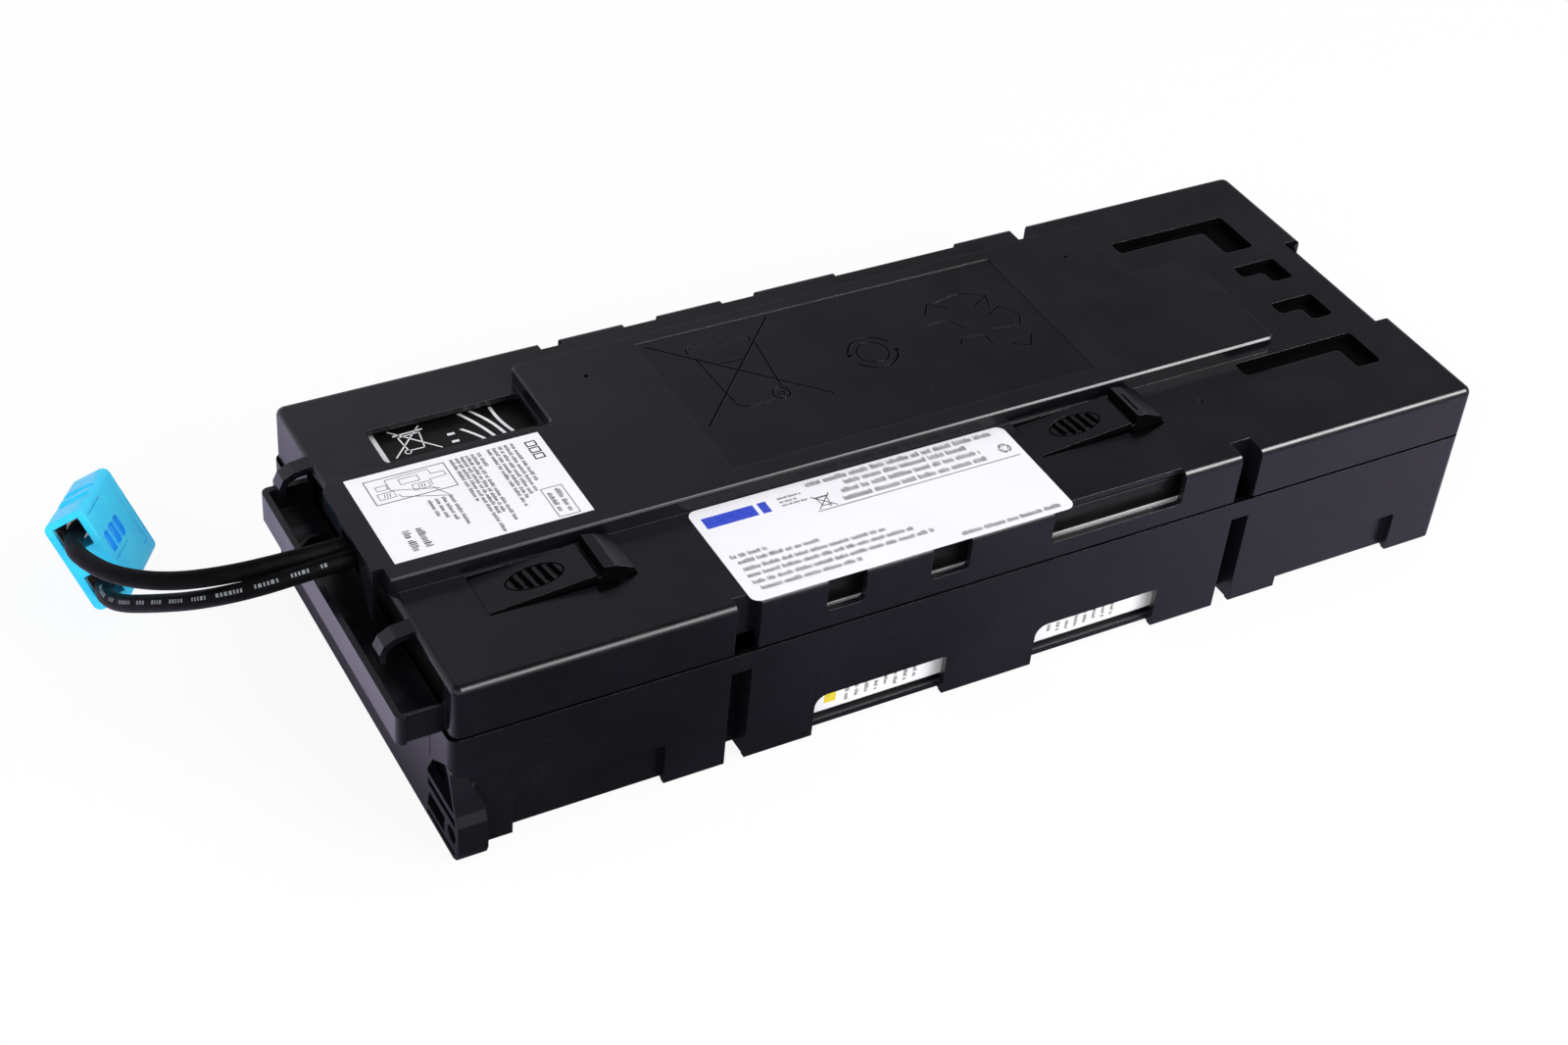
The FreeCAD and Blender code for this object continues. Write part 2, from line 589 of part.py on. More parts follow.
def make_battery(number, left):
    """Sealed lead-acid block, lying on its broad side."""
    cell = body(f"battery_body_{number}")
    outline = rectangle((left, f"{left} + block_tall"), ("block_front", "block_front + block_long"))
    pad(cell, body_sketch(cell, f"battery_outline_{number}", "XY_Plane", [outline], "floor_high"),
        "block_thick")
    soften(cell, BLOCK_CORNER, upright)
    return cell


def terminal_face(left, facing):
    """Formula for the x of the terminal face of a block."""
    return f"{left} + block_tall" if facing > 0 else left


def along(start, facing, distance):
    """Formula for a point at a distance in front of a terminal face."""
    return f"{start} + ({facing * distance})"


def span(start, facing, near, far):
    """Low and high formulas of a stretch in front of a terminal face."""
    ends = [along(start, facing, near), along(start, facing, far)]
    return tuple(ends) if facing > 0 else tuple(reversed(ends))


def terminal_y(side):
    """Formula for the y of the front or back terminal."""
    return "block_front + terminal_inset" if side == "front" else "block_front + block_long - terminal_inset"


def make_terminal(number, side, left, facing):
    """Tin-plated blade."""
    face, y = terminal_face(left, facing), terminal_y(side)
    blade = body(f"blade_{number}_{side}")
    outline = rectangle(span(face, facing, 0, BLADE_LONG),
                        (f"{y} - {BLADE_WIDE / 2}", f"{y} + {BLADE_WIDE / 2}"))
    pad(blade, body_sketch(blade, f"blade_outline_{number}_{side}", "XY_Plane", [outline],
                           f"terminal_level - {BLADE_THICK / 2}"), BLADE_THICK)
    return blade


def make_receptacle(number, side, left, facing):
    """Insulated flag receptacle pushed on to a blade."""
    face, y = terminal_face(left, facing), terminal_y(side)
    shell = block(f"sleeve_{number}_{side}", span(face, facing, SLEEVE_NEAR, SLEEVE_FAR),
                  (f"{y} - {SLEEVE_HALF}", f"{y} + {SLEEVE_HALF}"),
                  ("terminal_level - 2.6", "terminal_level + 2.6"))
    slot = block(f"sleeve_slot_{number}_{side}", span(face, facing, 0.5, 8.1),
                 (f"{y} - 3.3", f"{y} + 3.3"), ("terminal_level - 0.5", "terminal_level + 0.5"))
    return cut(f"receptacle_{number}_{side}", shell, [slot])


POLARITY = {1: ("negative", "positive"), 2: ("positive", "negative"),
            3: ("negative", "positive"), 4: ("positive", "negative")}
for number, (left, facing) in enumerate(BLOCKS, start=1):
    keep(f"battery_{number}", make_battery(number, left))
    for side, pole in zip(("front", "back"), POLARITY[number]):
        keep(f"battery_{number}_{pole}_terminal", make_terminal(number, side, left, facing))
        keep(f"battery_{number}_{pole}_receptacle", make_receptacle(number, side, left, facing))


# ---------------------------------------------------------------- leads
def tube_path(points):
    """Straight runs joined by tangent arcs as large as their runs allow."""
    pieces = []
    radii = []
    start = points[0]
    for before, corner, after in zip(points, points[1:], points[2:]):
        arriving = corner - before
        leaving = after - corner
        shorter = min(arriving.Length, leaving.Length)
        turn = arriving.getAngle(leaving)
        trim = 0.45 * shorter
        radius = trim / math.tan(turn / 2)
        arriving.normalize()
        leaving.normalize()
        enter = corner - arriving * trim
        leave = corner + leaving * trim
        towards = leaving - arriving
        towards.normalize()
        middle = corner + towards * (radius / math.cos(turn / 2) - radius)
        pieces.append(Part.LineSegment(start, enter).toShape())
        pieces.append(Part.Arc(enter, middle, leave).toShape())
        radii.append(radius)
        start = leave
    pieces.append(Part.LineSegment(start, points[-1]).toShape())
    return Part.Wire(pieces), radii


def section(centre, direction, diameter, sides):
    """Regular polygon across the start of a lead, its corners on the lead's own circle."""
    turn = FreeCAD.Rotation(V(0, 0, 1), direction)
    angles = [2 * math.pi * i / sides for i in range(sides)]
    corners = [centre + turn.multVec(V(math.cos(angle), math.sin(angle), 0) * diameter / 2)
               for angle in angles]
    return Part.makePolygon(corners + corners[:1])


def make_lead(name, points, diameter, sides):
    """Lead swept along its route, with its volume compared with section times length."""
    path, radii = tube_path(points)
    outline = section(points[0], points[1] - points[0], diameter, sides)
    solid = path.makePipeShell([outline], True, False, 2)
    expected = path.Length * Part.Face(outline).Area
    print(f"{name}: length {path.Length:.1f}, radii {min(radii):.1f} to {max(radii):.1f}, "
          f"volume ratio {solid.Volume / expected:.4f}")
    if abs(solid.Volume / expected - 1) > 0.01:
        raise RuntimeError(name + " was swept badly")
    lead = doc.addObject("Part::Feature", name + "_solid")
    lead.Shape = solid
    return lead


def front_y():
    """Where the wires of the front receptacles start."""
    return dim("block_front") + dim("terminal_inset") + SLEEVE_HALF


def back_y():
    """Where the wires of the back receptacles start."""
    return dim("block_front") + dim("block_long") - dim("terminal_inset") - SLEEVE_HALF


def wire_x(number):
    """x of the wire that leaves the receptacles of a block."""
    left, facing = BLOCKS[number - 1]
    face = float(left) + (dim("block_tall") if facing > 0 else 0)
    return face + facing * (SLEEVE_NEAR + SLEEVE_FAR) / 2


INNER_SIDES, OUTER_SIDES = 6, 8                     # corners of the sections of hidden and free leads
LOW, HIGH = dim("terminal_level"), dim("lead_level")
LANES = {"negative": 75.5, "positive": 82.5, "link": 108.0}     # y of the three long runs
LINK_SAG = 18                                       # how far a short link reaches in from its receptacles
LIP_X = -dim("lip_reach")


def inner_lead(name, block_number, lane, rise_from):
    """Main lead inside the case: receptacle, up out of the gap, along the blocks, to the lip."""
    x = wire_x(block_number)
    route = [V(x, front_y(), LOW), V(x, rise_from, LOW), V(x, lane, HIGH), V(LIP_X, lane, HIGH)]
    return make_lead(name, route, dim("main_lead"), INNER_SIDES)


keep("negative_lead_inner", inner_lead("negative_lead_inner", 1, LANES["negative"], 57.0))
keep("positive_lead_inner", inner_lead("positive_lead_inner", 4, LANES["positive"], 62.0))
LONG_LINK = [V(wire_x(2), front_y(), LOW), V(wire_x(2), 88, LOW), V(wire_x(2), LANES["link"], HIGH),
             V(wire_x(3), LANES["link"], HIGH), V(wire_x(3), 88, LOW), V(wire_x(3), front_y(), LOW)]
keep("link_lead_middle", make_lead("link_lead_middle", LONG_LINK, dim("link_lead"), INNER_SIDES))
for name, first, second in (("link_lead_left", 1, 2), ("link_lead_right", 3, 4)):
    near, far = wire_x(first), wire_x(second)
    loop = [V(near, back_y(), LOW), V(near, back_y() - LINK_SAG, LOW), V(far, back_y() - LINK_SAG, LOW),
            V(far, back_y(), LOW)]
    keep(name, make_lead(name, loop, dim("link_lead"), INNER_SIDES))

# Free leads: from the lip to the wire openings of the connector.
POSITIVE_ROUTE = [(-4.2, 82.5, 72.8), (-24, 82.5, 72.8), (-44.5, 86.5, 70.0), (-62.0, 98.0, 63.5),
                  (-75.0, 116.5, 56.0), (-81.0, 138.5, 49.0)]
NEGATIVE_ROUTE = [(-4.2, 75.5, 72.8), (-20, 75.5, 72.8), (-36.5, 79.0, 65.0), (-50.0, 91.5, 54.5),
                  (-62.0, 108.0, 44.0), (-73.5, 127.0, 33.5)]
# ---------------------------------------------------------------- connector at the free end
PLUG_CENTRE = V(-74.7, 153.5, 33.92)                 # middle of the wire face
PLUG_ACROSS = V(0.3292, -0.4888, -0.8079)           # from the upper pole to the lower one
PLUG_ALONG = V(0.4309, 0.8391, -0.3320)             # from the wire face to the mating face
POLE_PITCH = 20.4
BARREL_START = 9.0                                  # wire face to the end of the contact barrels
PLUG_CORNER, PLUG_END_EDGE = 3.0, 1.3               # long corners, and the broken edge of the mating end
THUMB_DEPTH, LINE_DEPTH, GROOVE_DEPTH = 1.4, 0.6, 1.0


def plug_point(across, along_plug):
    """Point on the middle plane of the connector."""
    return PLUG_CENTRE + PLUG_ACROSS * across + PLUG_ALONG * along_plug


for name, route, across, reach in (("positive_lead", POSITIVE_ROUTE, -POLE_PITCH / 2, 5.0),
                                   ("negative_lead", NEGATIVE_ROUTE, POLE_PITCH / 2, 6.0)):
    points = [V(*point) for point in route]
    points += [plug_point(across, -reach), plug_point(across, BARREL_START)]
    keep(name, make_lead(name, points, dim("main_lead"), OUTER_SIDES))


def plug_placement():
    """Local axes: x across both poles, y through the thickness, z from wire face to mating face."""
    return FreeCAD.Placement(PLUG_CENTRE, FreeCAD.Rotation(PLUG_ACROSS, V(), PLUG_ALONG, "ZXY"))


def make_housing():
    """Two-pole housing: wire openings, contact wells, mating hoods, thumb slots and finger grooves."""
    shell = body("plug_body")
    outline = rectangle(("-plug_wide / 2", "plug_wide / 2"), ("-plug_thick / 2", "plug_thick / 2"))
    pad(shell, body_sketch(shell, "plug_outline", "XY_Plane", [outline]), "plug_long")
    soften(shell, PLUG_CORNER, upright)
    break_edges(shell, PLUG_END_EDGE, lambda a, b: crossways(a, b) and a.z > 40)
    for number, centre in enumerate((-POLE_PITCH / 2, POLE_PITCH / 2), start=1):
        well = rectangle((centre - 5.4, centre + 5.4), (-5.2, 5.2))
        pocket(shell, body_sketch(shell, f"well_{number}", "XY_Plane", [well]), "plug_long - 12", flip=True)
        hood = rectangle((centre - 6.4, centre + 6.4), (0.6, 5.6))
        pocket(shell, body_sketch(shell, f"hood_{number}", "XY_Plane", [hood], "plug_long - 13"),
               "14", flip=True)
    for number, (low, high) in enumerate([(5.4, 10.8), (12.7, 18.5), (20.9, 25.4)], start=1):
        slot = [(-5.2, low + 1.2), (-4.6, high), (2.8, high), (2.8, low + 0.6), (1.6, low), (-4.4, low)]
        pocket(shell, body_sketch(shell, f"thumb_slot_{number}", "XZ_Plane", [slot], "plug_thick / 2"),
               THUMB_DEPTH)
    lines = {"line_left": rectangle((-14.5, -14.0), (2.8, 22.2)),
             "line_right": rectangle((4.7, 5.2), (2.8, 22.8)),
             "edge_outer": rectangle((-11.7, 9.2), (44.6, 45.4)),
             "edge_inner": [(-14.3, 40.8), (12.4, 40.8), (12.4, 35.7), (11.6, 35.7), (11.6, 40.0),
                            (-14.3, 40.0)]}
    for name, loop in lines.items():
        pocket(shell, body_sketch(shell, name, "XZ_Plane", [loop], "plug_thick / 2"), LINE_DEPTH)
    for side, offset, inward in (("upper", "-plug_wide / 2", True), ("lower", "plug_wide / 2", False)):
        for low, high in ((12.5, 22.6), (26.4, 31.0)):
            groove = [(9, low), (9, high), (-4.6, high), (-6.6, high - 1.8), (-6.6, low + 1.8), (-4.6, low)]
            pocket(shell, body_sketch(shell, f"groove_{side}_{round(low)}", "YZ_Plane", [groove], offset),
                   GROOVE_DEPTH, flip=inward)
    return shell


def make_contact(number):
    """Silver-plated contact: wire barrel and flat tongue."""
    centre = (number - 1.5) * POLE_PITCH
    barrel = prism(f"contact_barrel_{number}", "XY", [(centre, 0, 4.2), (centre, 0, 2.4)],
                   BARREL_START, "21")
    tongue = block(f"contact_tongue_{number}", (centre - 4.2, centre + 4.2), (-4.4, -2.6), ("20", "34"))
    return fuse(f"contact_{number}", [barrel, tongue])


def make_spring(number):
    """Flat steel spring that holds a contact down, bowed over its length."""
    centre = (number - 1.5) * POLE_PITCH
    leaf = [("4.8", "1.5"), ("5.2", "1.5"), ("4.9", "12"), ("5.2", "33"), ("4.8", "33"), ("4.5", "12")]
    return prism(f"spring_{number}", "YZ", [leaf], centre - 4.6, centre + 4.6)


keep("connector_housing", make_housing())
for number, pole in enumerate(("positive", "negative"), start=1):
    keep(f"{pole}_contact", make_contact(number))
    keep(f"{pole}_contact_spring", make_spring(number))


# ---------------------------------------------------------------- labels
LABEL_THICK = 0.2
FRONT_LABEL_CORNER = 3.5


def make_label(name, corners, low, radius):
    """Printed sheet stuck on top of the cover."""
    label = body(name + "_body")
    pad(label, body_sketch(label, name + "_outline", "XY_Plane", [corners], low), LABEL_THICK)
    if radius:
        soften(label, radius, upright)
    return label


def make_end_label(number, left):
    """Printed sheet stuck on the front end of a block."""
    label = body(f"end_label_{number}")
    outline = rectangle((f"{left} + 2.5", f"{left} + block_tall - 2.5"), ("4.6", "58"))
    pad(label, body_sketch(label, f"end_label_outline_{number}", "XZ_Plane", [outline],
                           "-block_front"), LABEL_THICK)
    return label


keep("instruction_label", make_label("instruction_label", rectangle(("4.2", "77.7"), ("59", "106.4")),
                                     "crown_level", 0))
keep("front_label", make_label("front_label", rectangle(("109.7", "241"), ("0.3", "51.6")),
                               "deck_level", FRONT_LABEL_CORNER))
for number, (left, _) in enumerate(BLOCKS, start=1):
    keep(f"battery_{number}_end_label", make_end_label(number, left))

# ---------------------------------------------------------------- placing, checking, writing
CASE_LEFT = -(dim("case_length") - dim("trough_depth")) / 2
CASE_FRONT = -(dim("case_width") - dim("foot_nose")) / 2
TO_PART = FreeCAD.Placement(V(CASE_LEFT, CASE_FRONT, 0), FreeCAD.Rotation())
ON_PLUG = ("connector_housing", "positive_contact", "negative_contact", "positive_contact_spring",
           "negative_contact_spring")
doc.recompute()
failed = [item.Name for item in doc.Objects if {"Invalid", "Error"} & set(item.State)]
if failed:
    raise RuntimeError("failed objects: " + ", ".join(failed))
os.makedirs("parts", exist_ok=True)
for name, item in NODES.items():
    local = plug_placement() if name in ON_PLUG else FreeCAD.Placement()
    item.Placement = TO_PART.multiply(local).multiply(item.Placement)
doc.recompute()
for name, item in NODES.items():
    shape = item.Shape
    if shape.isNull() or not shape.isValid() or not shape.Solids:
        raise RuntimeError(name + " has no valid solid")
    shape.exportStep(f"parts/{name}.step")
    box = shape.BoundBox
    print(f"{name}: {len(shape.Solids)} solid, {shape.Volume / 1000:.1f} cm3, x {box.XMin:.1f}..{box.XMax:.1f} "
          f"y {box.YMin:.1f}..{box.YMax:.1f} z {box.ZMin:.1f}..{box.ZMax:.1f}")
print(f"{len(NODES)} nodes")
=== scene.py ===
"""Looks of the battery cartridge: moulded black case, labels, free leads with a blue connector."""

import json
import math
import random

import bmesh
import bpy
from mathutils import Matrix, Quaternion, Vector


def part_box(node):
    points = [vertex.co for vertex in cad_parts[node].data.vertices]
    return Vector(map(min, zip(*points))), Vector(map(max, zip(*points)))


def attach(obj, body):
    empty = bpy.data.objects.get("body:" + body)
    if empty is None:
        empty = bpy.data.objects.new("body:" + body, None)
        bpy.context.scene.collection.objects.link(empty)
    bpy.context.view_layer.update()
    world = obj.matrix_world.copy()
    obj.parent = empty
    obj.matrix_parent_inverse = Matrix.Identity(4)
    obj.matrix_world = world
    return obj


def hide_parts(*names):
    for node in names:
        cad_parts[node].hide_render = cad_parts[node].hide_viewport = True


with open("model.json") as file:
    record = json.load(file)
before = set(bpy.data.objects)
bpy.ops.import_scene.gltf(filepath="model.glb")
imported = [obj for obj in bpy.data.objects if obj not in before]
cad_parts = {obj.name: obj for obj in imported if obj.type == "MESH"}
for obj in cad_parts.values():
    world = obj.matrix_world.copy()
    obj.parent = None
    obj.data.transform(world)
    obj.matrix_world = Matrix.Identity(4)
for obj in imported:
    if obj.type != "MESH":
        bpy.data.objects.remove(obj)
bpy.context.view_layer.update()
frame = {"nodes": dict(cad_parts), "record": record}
NODES = frame["nodes"]
BODY_OF = {node: body for body, nodes in frame["record"]["behaviour"]["bodies"].items()
           for node in nodes}
MM = 0.001

# ---------------------------------------------------------------- places, from the frame
# Sizes are millimetres of the case: x along it from the cable end, y in from the front, z up.
CASE_LONG, CASE_WIDE = 427, 165
COVER_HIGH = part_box("upper_cover")[1]
CORNER = Vector((COVER_HIGH.x - CASE_LONG * MM, COVER_HIGH.y - CASE_WIDE * MM, 0))
CROWN = COVER_HIGH.z / MM
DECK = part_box("front_label")[0].z / MM
CROWN_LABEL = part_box("instruction_label")[1].z / MM
DECK_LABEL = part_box("front_label")[1].z / MM
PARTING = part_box("lower_tray")[1].z / MM
BLOCK_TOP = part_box("battery_1")[1].z / MM
LABEL_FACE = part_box("battery_2_end_label")[0].y / MM - CORNER.y / MM     # front of the end labels
RIGHT, UP, DOWN = (1, 0), (0, 1), (0, -1)                               # ways that print runs


def at(x, y, z):
    """A place in case millimetres, as a point in the frame."""
    return CORNER + Vector((x, y, z)) * MM


# ---------------------------------------------------------------- camera
CAMERA_PLACE = (-0.44436, -0.64451, 0.65387)
CAMERA_TARGET = (-0.01754, 0.03072, 0.0)
CAMERA_LENS, CAMERA_SENSOR = 59.977, 36.0           # mm
CAMERA_ROLL = math.radians(5.916)


def make_camera():
    """Camera at the viewing angle of the reference picture, slightly rolled."""
    data = bpy.data.cameras.new("camera")
    data.lens = CAMERA_LENS
    data.sensor_width = CAMERA_SENSOR
    data.clip_start, data.clip_end = 0.01, 30.0
    camera = bpy.data.objects.new("camera", data)
    bpy.context.scene.collection.objects.link(camera)
    camera.location = CAMERA_PLACE
    camera.rotation_mode = "QUATERNION"
    aim = (Vector(CAMERA_TARGET) - camera.location).to_track_quat("-Z", "Y")
    camera.rotation_quaternion = aim @ Quaternion((0, 0, 1), CAMERA_ROLL)
    bpy.context.scene.camera = camera


make_camera()


# ---------------------------------------------------------------- materials
class Nodes:
    """Short ways to add nodes to a tree and to link them."""

    def __init__(self, tree):
        self.tree = tree

    def add(self, kind, **settings):
        """New node with its properties set."""
        node = self.tree.nodes.new(kind)
        for name, value in settings.items():
            setattr(node, name, value)
        return node

    def link(self, source, target):
        """Link from an output to an input."""
        self.tree.links.new(source, target)

    def spread(self, value, low, high, start=0.3, end=0.7, curve="LINEAR"):
        """Value mapped from start..end on to low..high."""
        ramp = self.add("ShaderNodeMapRange", interpolation_type=curve)
        for socket, number in (("From Min", start), ("From Max", end),
                               ("To Min", low), ("To Max", high)):
            ramp.inputs[socket].default_value = number
        self.link(value, ramp.inputs["Value"])
        return ramp.outputs["Result"]

    def combine(self, operation, *values):
        """Result of a mathematical operation on outputs and plain numbers."""
        node = self.add("ShaderNodeMath", operation=operation)
        for socket, value in zip(node.inputs, values):
            if isinstance(value, float):
                socket.default_value = value
            else:
                self.link(value, socket)
        return node.outputs["Value"]

    def choose(self, factor, first, second):
        """Shader that is the first where the factor is 0, and the second where it is 1."""
        node = self.add("ShaderNodeMixShader")
        for source, socket in zip((factor, first, second), node.inputs):
            self.link(source, socket)
        return node.outputs[0]


class Finish(Nodes):
    """A node-based material built round one Principled shader, in object coordinates."""

    def __init__(self, name, colour, roughness, **sockets):
        self.material = bpy.data.materials.new(name)
        self.material.use_nodes = True
        super().__init__(self.material.node_tree)
        self.shader = self.tree.nodes["Principled BSDF"]
        self.shader.inputs["Base Color"].default_value = (*colour, 1)
        self.shader.inputs["Roughness"].default_value = roughness
        for socket, value in sockets.items():
            self.shader.inputs[socket.replace("_", " ")].default_value = value
        self.coordinates = self.add("ShaderNodeTexCoord").outputs["Object"]
        self.normal = None

    def noise(self, scale, detail, stretch=(1, 1, 1)):
        """Noise value at a scale in features a metre."""
        mapping = self.add("ShaderNodeMapping")
        mapping.inputs["Scale"].default_value = stretch
        texture = self.add("ShaderNodeTexNoise")
        texture.inputs["Scale"].default_value = scale
        texture.inputs["Detail"].default_value = detail
        self.link(self.coordinates, mapping.inputs["Vector"])
        self.link(mapping.outputs["Vector"], texture.inputs["Vector"])
        return texture.outputs["Fac"]

    def mix(self, factor, first, second):
        """Colour between two colours or outputs."""
        node = self.add("ShaderNodeMix", data_type="RGBA")
        self.link(factor, node.inputs["Factor"])
        for socket, colour in ((node.inputs[6], first), (node.inputs[7], second)):
            if isinstance(colour, tuple):
                socket.default_value = (*colour, 1)
            else:
                self.link(colour, socket)
        return node.outputs[2]

    def mottle(self, scale, detail, first, second):
        """Colour that drifts between two colours."""
        return self.mix(self.spread(self.noise(scale, detail), 0, 1), first, second)

    def colour(self, source):
        """Take the base colour from an output."""
        self.link(source, self.shader.inputs["Base Color"])

    def roughness(self, scale, detail, low, high, stretch=(1, 1, 1)):
        """Roughness that drifts between two values."""
        drift = self.spread(self.noise(scale, detail, stretch), low, high)
        self.link(drift, self.shader.inputs["Roughness"])

    def round_edges(self, radius):
        """Shade the sharp edges of a moulding as if they were rounded by a radius in metres."""
        node = self.add("ShaderNodeBevel", samples=6)
        node.inputs["Radius"].default_value = radius
        self.normal = node.outputs["Normal"]
        self.link(self.normal, self.shader.inputs["Normal"])

    def bump(self, scale, detail, strength, depth, stretch=(1, 1, 1)):
        """Noise bump of a depth in metres, stacked on the bumps before it."""
        node = self.add("ShaderNodeBump")
        node.inputs["Strength"].default_value = strength
        node.inputs["Distance"].default_value = depth
        self.link(self.noise(scale, detail, stretch), node.inputs["Height"])
        if self.normal:
            self.link(self.normal, node.inputs["Normal"])
        self.normal = node.outputs["Normal"]
        self.link(self.normal, self.shader.inputs["Normal"])

    def specks(self, scale, share, size):
        """Factor that is 1 on sparse round specks: one cell in 1/share carries one."""
        cells = self.add("ShaderNodeTexVoronoi")
        cells.inputs["Scale"].default_value = scale
        self.link(self.coordinates, cells.inputs["Vector"])
        near = self.spread(cells.outputs["Distance"], 1, 0, size * 0.5, size)
        picked = self.add("ShaderNodeSeparateColor")
        self.link(cells.outputs["Color"], picked.inputs["Color"])
        return self.combine("MULTIPLY", near,
                            self.combine("LESS_THAN", picked.outputs["Red"], share))


def case_plastic(name, gloss):
    """Black moulded plastic: satin, faintly mottled, with a little dust."""
    finish = Finish(name, (0.005, 0.0045, 0.006), 0.25, Specular_IOR_Level=gloss)
    finish.round_edges(0.00035)
    plain = finish.mottle(22, 5, (0.0035, 0.0032, 0.0045), (0.0065, 0.006, 0.009))
    finish.colour(finish.mix(finish.specks(260, 0.03, 0.035), plain, (0.30, 0.29, 0.28)))
    finish.roughness(60, 6, 0.20, 0.31)
    finish.bump(2600, 2, 0.22, 0.00002)
    finish.bump(35, 2, 0.10, 0.0004)
    return finish.material


def painted_shade_plastic():
    """The black moulding made darker and nearly without gloss: painted shade in recesses, grooves
    and shaded sides.
    """
    finish = Finish("case_plastic_painted_shade", (0.0010, 0.0010, 0.0012), 0.7, Specular_IOR_Level=0.03)
    finish.colour(finish.mottle(60, 4, (0.0007, 0.0007, 0.0008), (0.0014, 0.0014, 0.0016)))
    finish.roughness(160, 4, 0.6, 0.8)
    finish.bump(1800, 3, 0.4, 0.00005)
    return finish.material


def battery_plastic():
    """Dark grey case of the sealed blocks."""
    finish = Finish("battery_plastic", (0.004, 0.004, 0.0045), 0.38, Specular_IOR_Level=0.4)
    finish.round_edges(0.0016)
    finish.colour(finish.mottle(30, 4, (0.003, 0.003, 0.0034), (0.006, 0.006, 0.0064)))
    finish.roughness(90, 4, 0.30, 0.44)
    finish.bump(3200, 2, 0.4, 0.00003)
    return finish.material


def label_film(name, colour):
    """White printed film: smooth, very slightly uneven where it is stuck down."""
    finish = Finish(name, colour, 0.42, Specular_IOR_Level=0.35)
    darker = tuple(channel * 0.965 for channel in colour)
    finish.colour(finish.mottle(28, 3, darker, colour))
    finish.roughness(120, 3, 0.36, 0.5)
    finish.bump(70, 2, 0.10, 0.0002)
    finish.bump(4200, 2, 0.15, 0.00001)
    return finish.material


def ink(name, colour):
    """Printed ink, thinner in places."""
    finish = Finish(name, colour, 0.5, Specular_IOR_Level=0.3)
    faded = tuple(channel + 0.05 * (0.8 - channel) for channel in colour)
    finish.colour(finish.mottle(900, 2, colour, faded))
    finish.roughness(300, 2, 0.42, 0.58)
    return finish.material


def insulation(name, colour):
    """Soft PVC insulation with a faint drawn grain."""
    finish = Finish(name, colour, 0.5, Specular_IOR_Level=0.05)
    paler = tuple(channel * 1.6 + 0.0006 for channel in colour)
    finish.colour(finish.mottle(160, 4, colour, paler))
    finish.roughness(240, 4, 0.42, 0.58)
    finish.bump(1500, 2, 0.3, 0.00004)
    return finish.material


def metal(name, colour, low, high):
    """Plated metal with fine scratches."""
    finish = Finish(name, colour, low, Metallic=1.0)
    finish.roughness(700, 4, low, high, (1, 12, 1))
    finish.bump(2200, 2, 0.2, 0.00002, (1, 20, 1))
    duller = tuple(channel * 0.75 for channel in colour)
    finish.colour(finish.mottle(90, 4, colour, duller))
    return finish.material


def connector_plastic(name, deep, pale):
    """Bright blue moulding, slightly translucent, matt from handling."""
    finish = Finish(name, pale, 0.42, Subsurface_Weight=0.06)
    finish.shader.inputs["Subsurface Radius"].default_value = (0.0004, 0.0012, 0.0030)
    finish.round_edges(0.0007)
    finish.colour(finish.mottle(75, 4, deep, pale))
    finish.roughness(220, 4, 0.36, 0.52)
    finish.bump(2300, 3, 0.35, 0.00003)
    return finish.material


BLACK = case_plastic("case_plastic", 0.5)
PANEL_BLACK = case_plastic("case_plastic_panel", 0.40)
# painted shade: the crown's front wall gets the case plastic with its gloss turned down, so that it
# shows no reflection
WALL_SHADED_BLACK = case_plastic("case_plastic_wall_shaded", 0.15)
# painted shade: a darker, duller copy of the case plastic for recesses and shaded sides
PAINTED_SHADE = painted_shade_plastic()
BLOCK = battery_plastic()
TOP_FILM = label_film("top_label", (0.80, 0.80, 0.81))
FRONT_FILM = label_film("front_label", (0.80, 0.80, 0.82))
# painted light: the end labels' film is whiter than the others, to make up for the shade in the
# cover's windows
END_FILM_LIT = label_film("end_label", (0.92, 0.92, 0.92))
BLACK_INK = ink("black_ink", (0.012, 0.012, 0.014))
BLUE_INK = ink("blue_ink", (0.012, 0.045, 0.50))
WHITE_INK = ink("white_ink", (0.80, 0.82, 0.82))
YELLOW_INK = ink("yellow_ink", (0.80, 0.62, 0.02))
LEAD_BLACK = insulation("lead_insulation", (0.0016, 0.0016, 0.0018))
LINK_BLACK = insulation("link_insulation", (0.010, 0.010, 0.011))
TIN = metal("tin_plate", (0.72, 0.71, 0.68), 0.25, 0.4)
SLEEVE = insulation("receptacle_sleeve", (0.42, 0.03, 0.02))
BLUE = connector_plastic("connector_plastic", (0.015, 0.61, 1.0), (0.035, 0.70, 1.0))
# painted shade: a deeper blue for the insides of the connector's slots
SHADED_BLUE = connector_plastic("connector_plastic_shaded", (0.004, 0.38, 0.93), (0.006, 0.44, 0.96))
LEAD_PRINT = ink("lead_print", (0.15, 0.17, 0.18))
SILVER = metal("contact_metal", (0.80, 0.76, 0.68), 0.18, 0.32)
STEEL = metal("spring_steel", (0.55, 0.52, 0.47), 0.22, 0.36)
FINISHES = {"case_plastic": BLACK, "battery_plastic": BLOCK, "top_label": TOP_FILM,
            "front_label": FRONT_FILM, "end_label": END_FILM_LIT, "lead_insulation": LEAD_BLACK,
            "link_insulation": LINK_BLACK, "tin_plate": TIN, "receptacle_sleeve": SLEEVE,
            "connector_plastic": BLUE, "contact_metal": SILVER, "spring_steel": STEEL}
SLOT_OF = {piece["node"]: piece["material_slot"] for piece in frame["record"]["subparts"]}
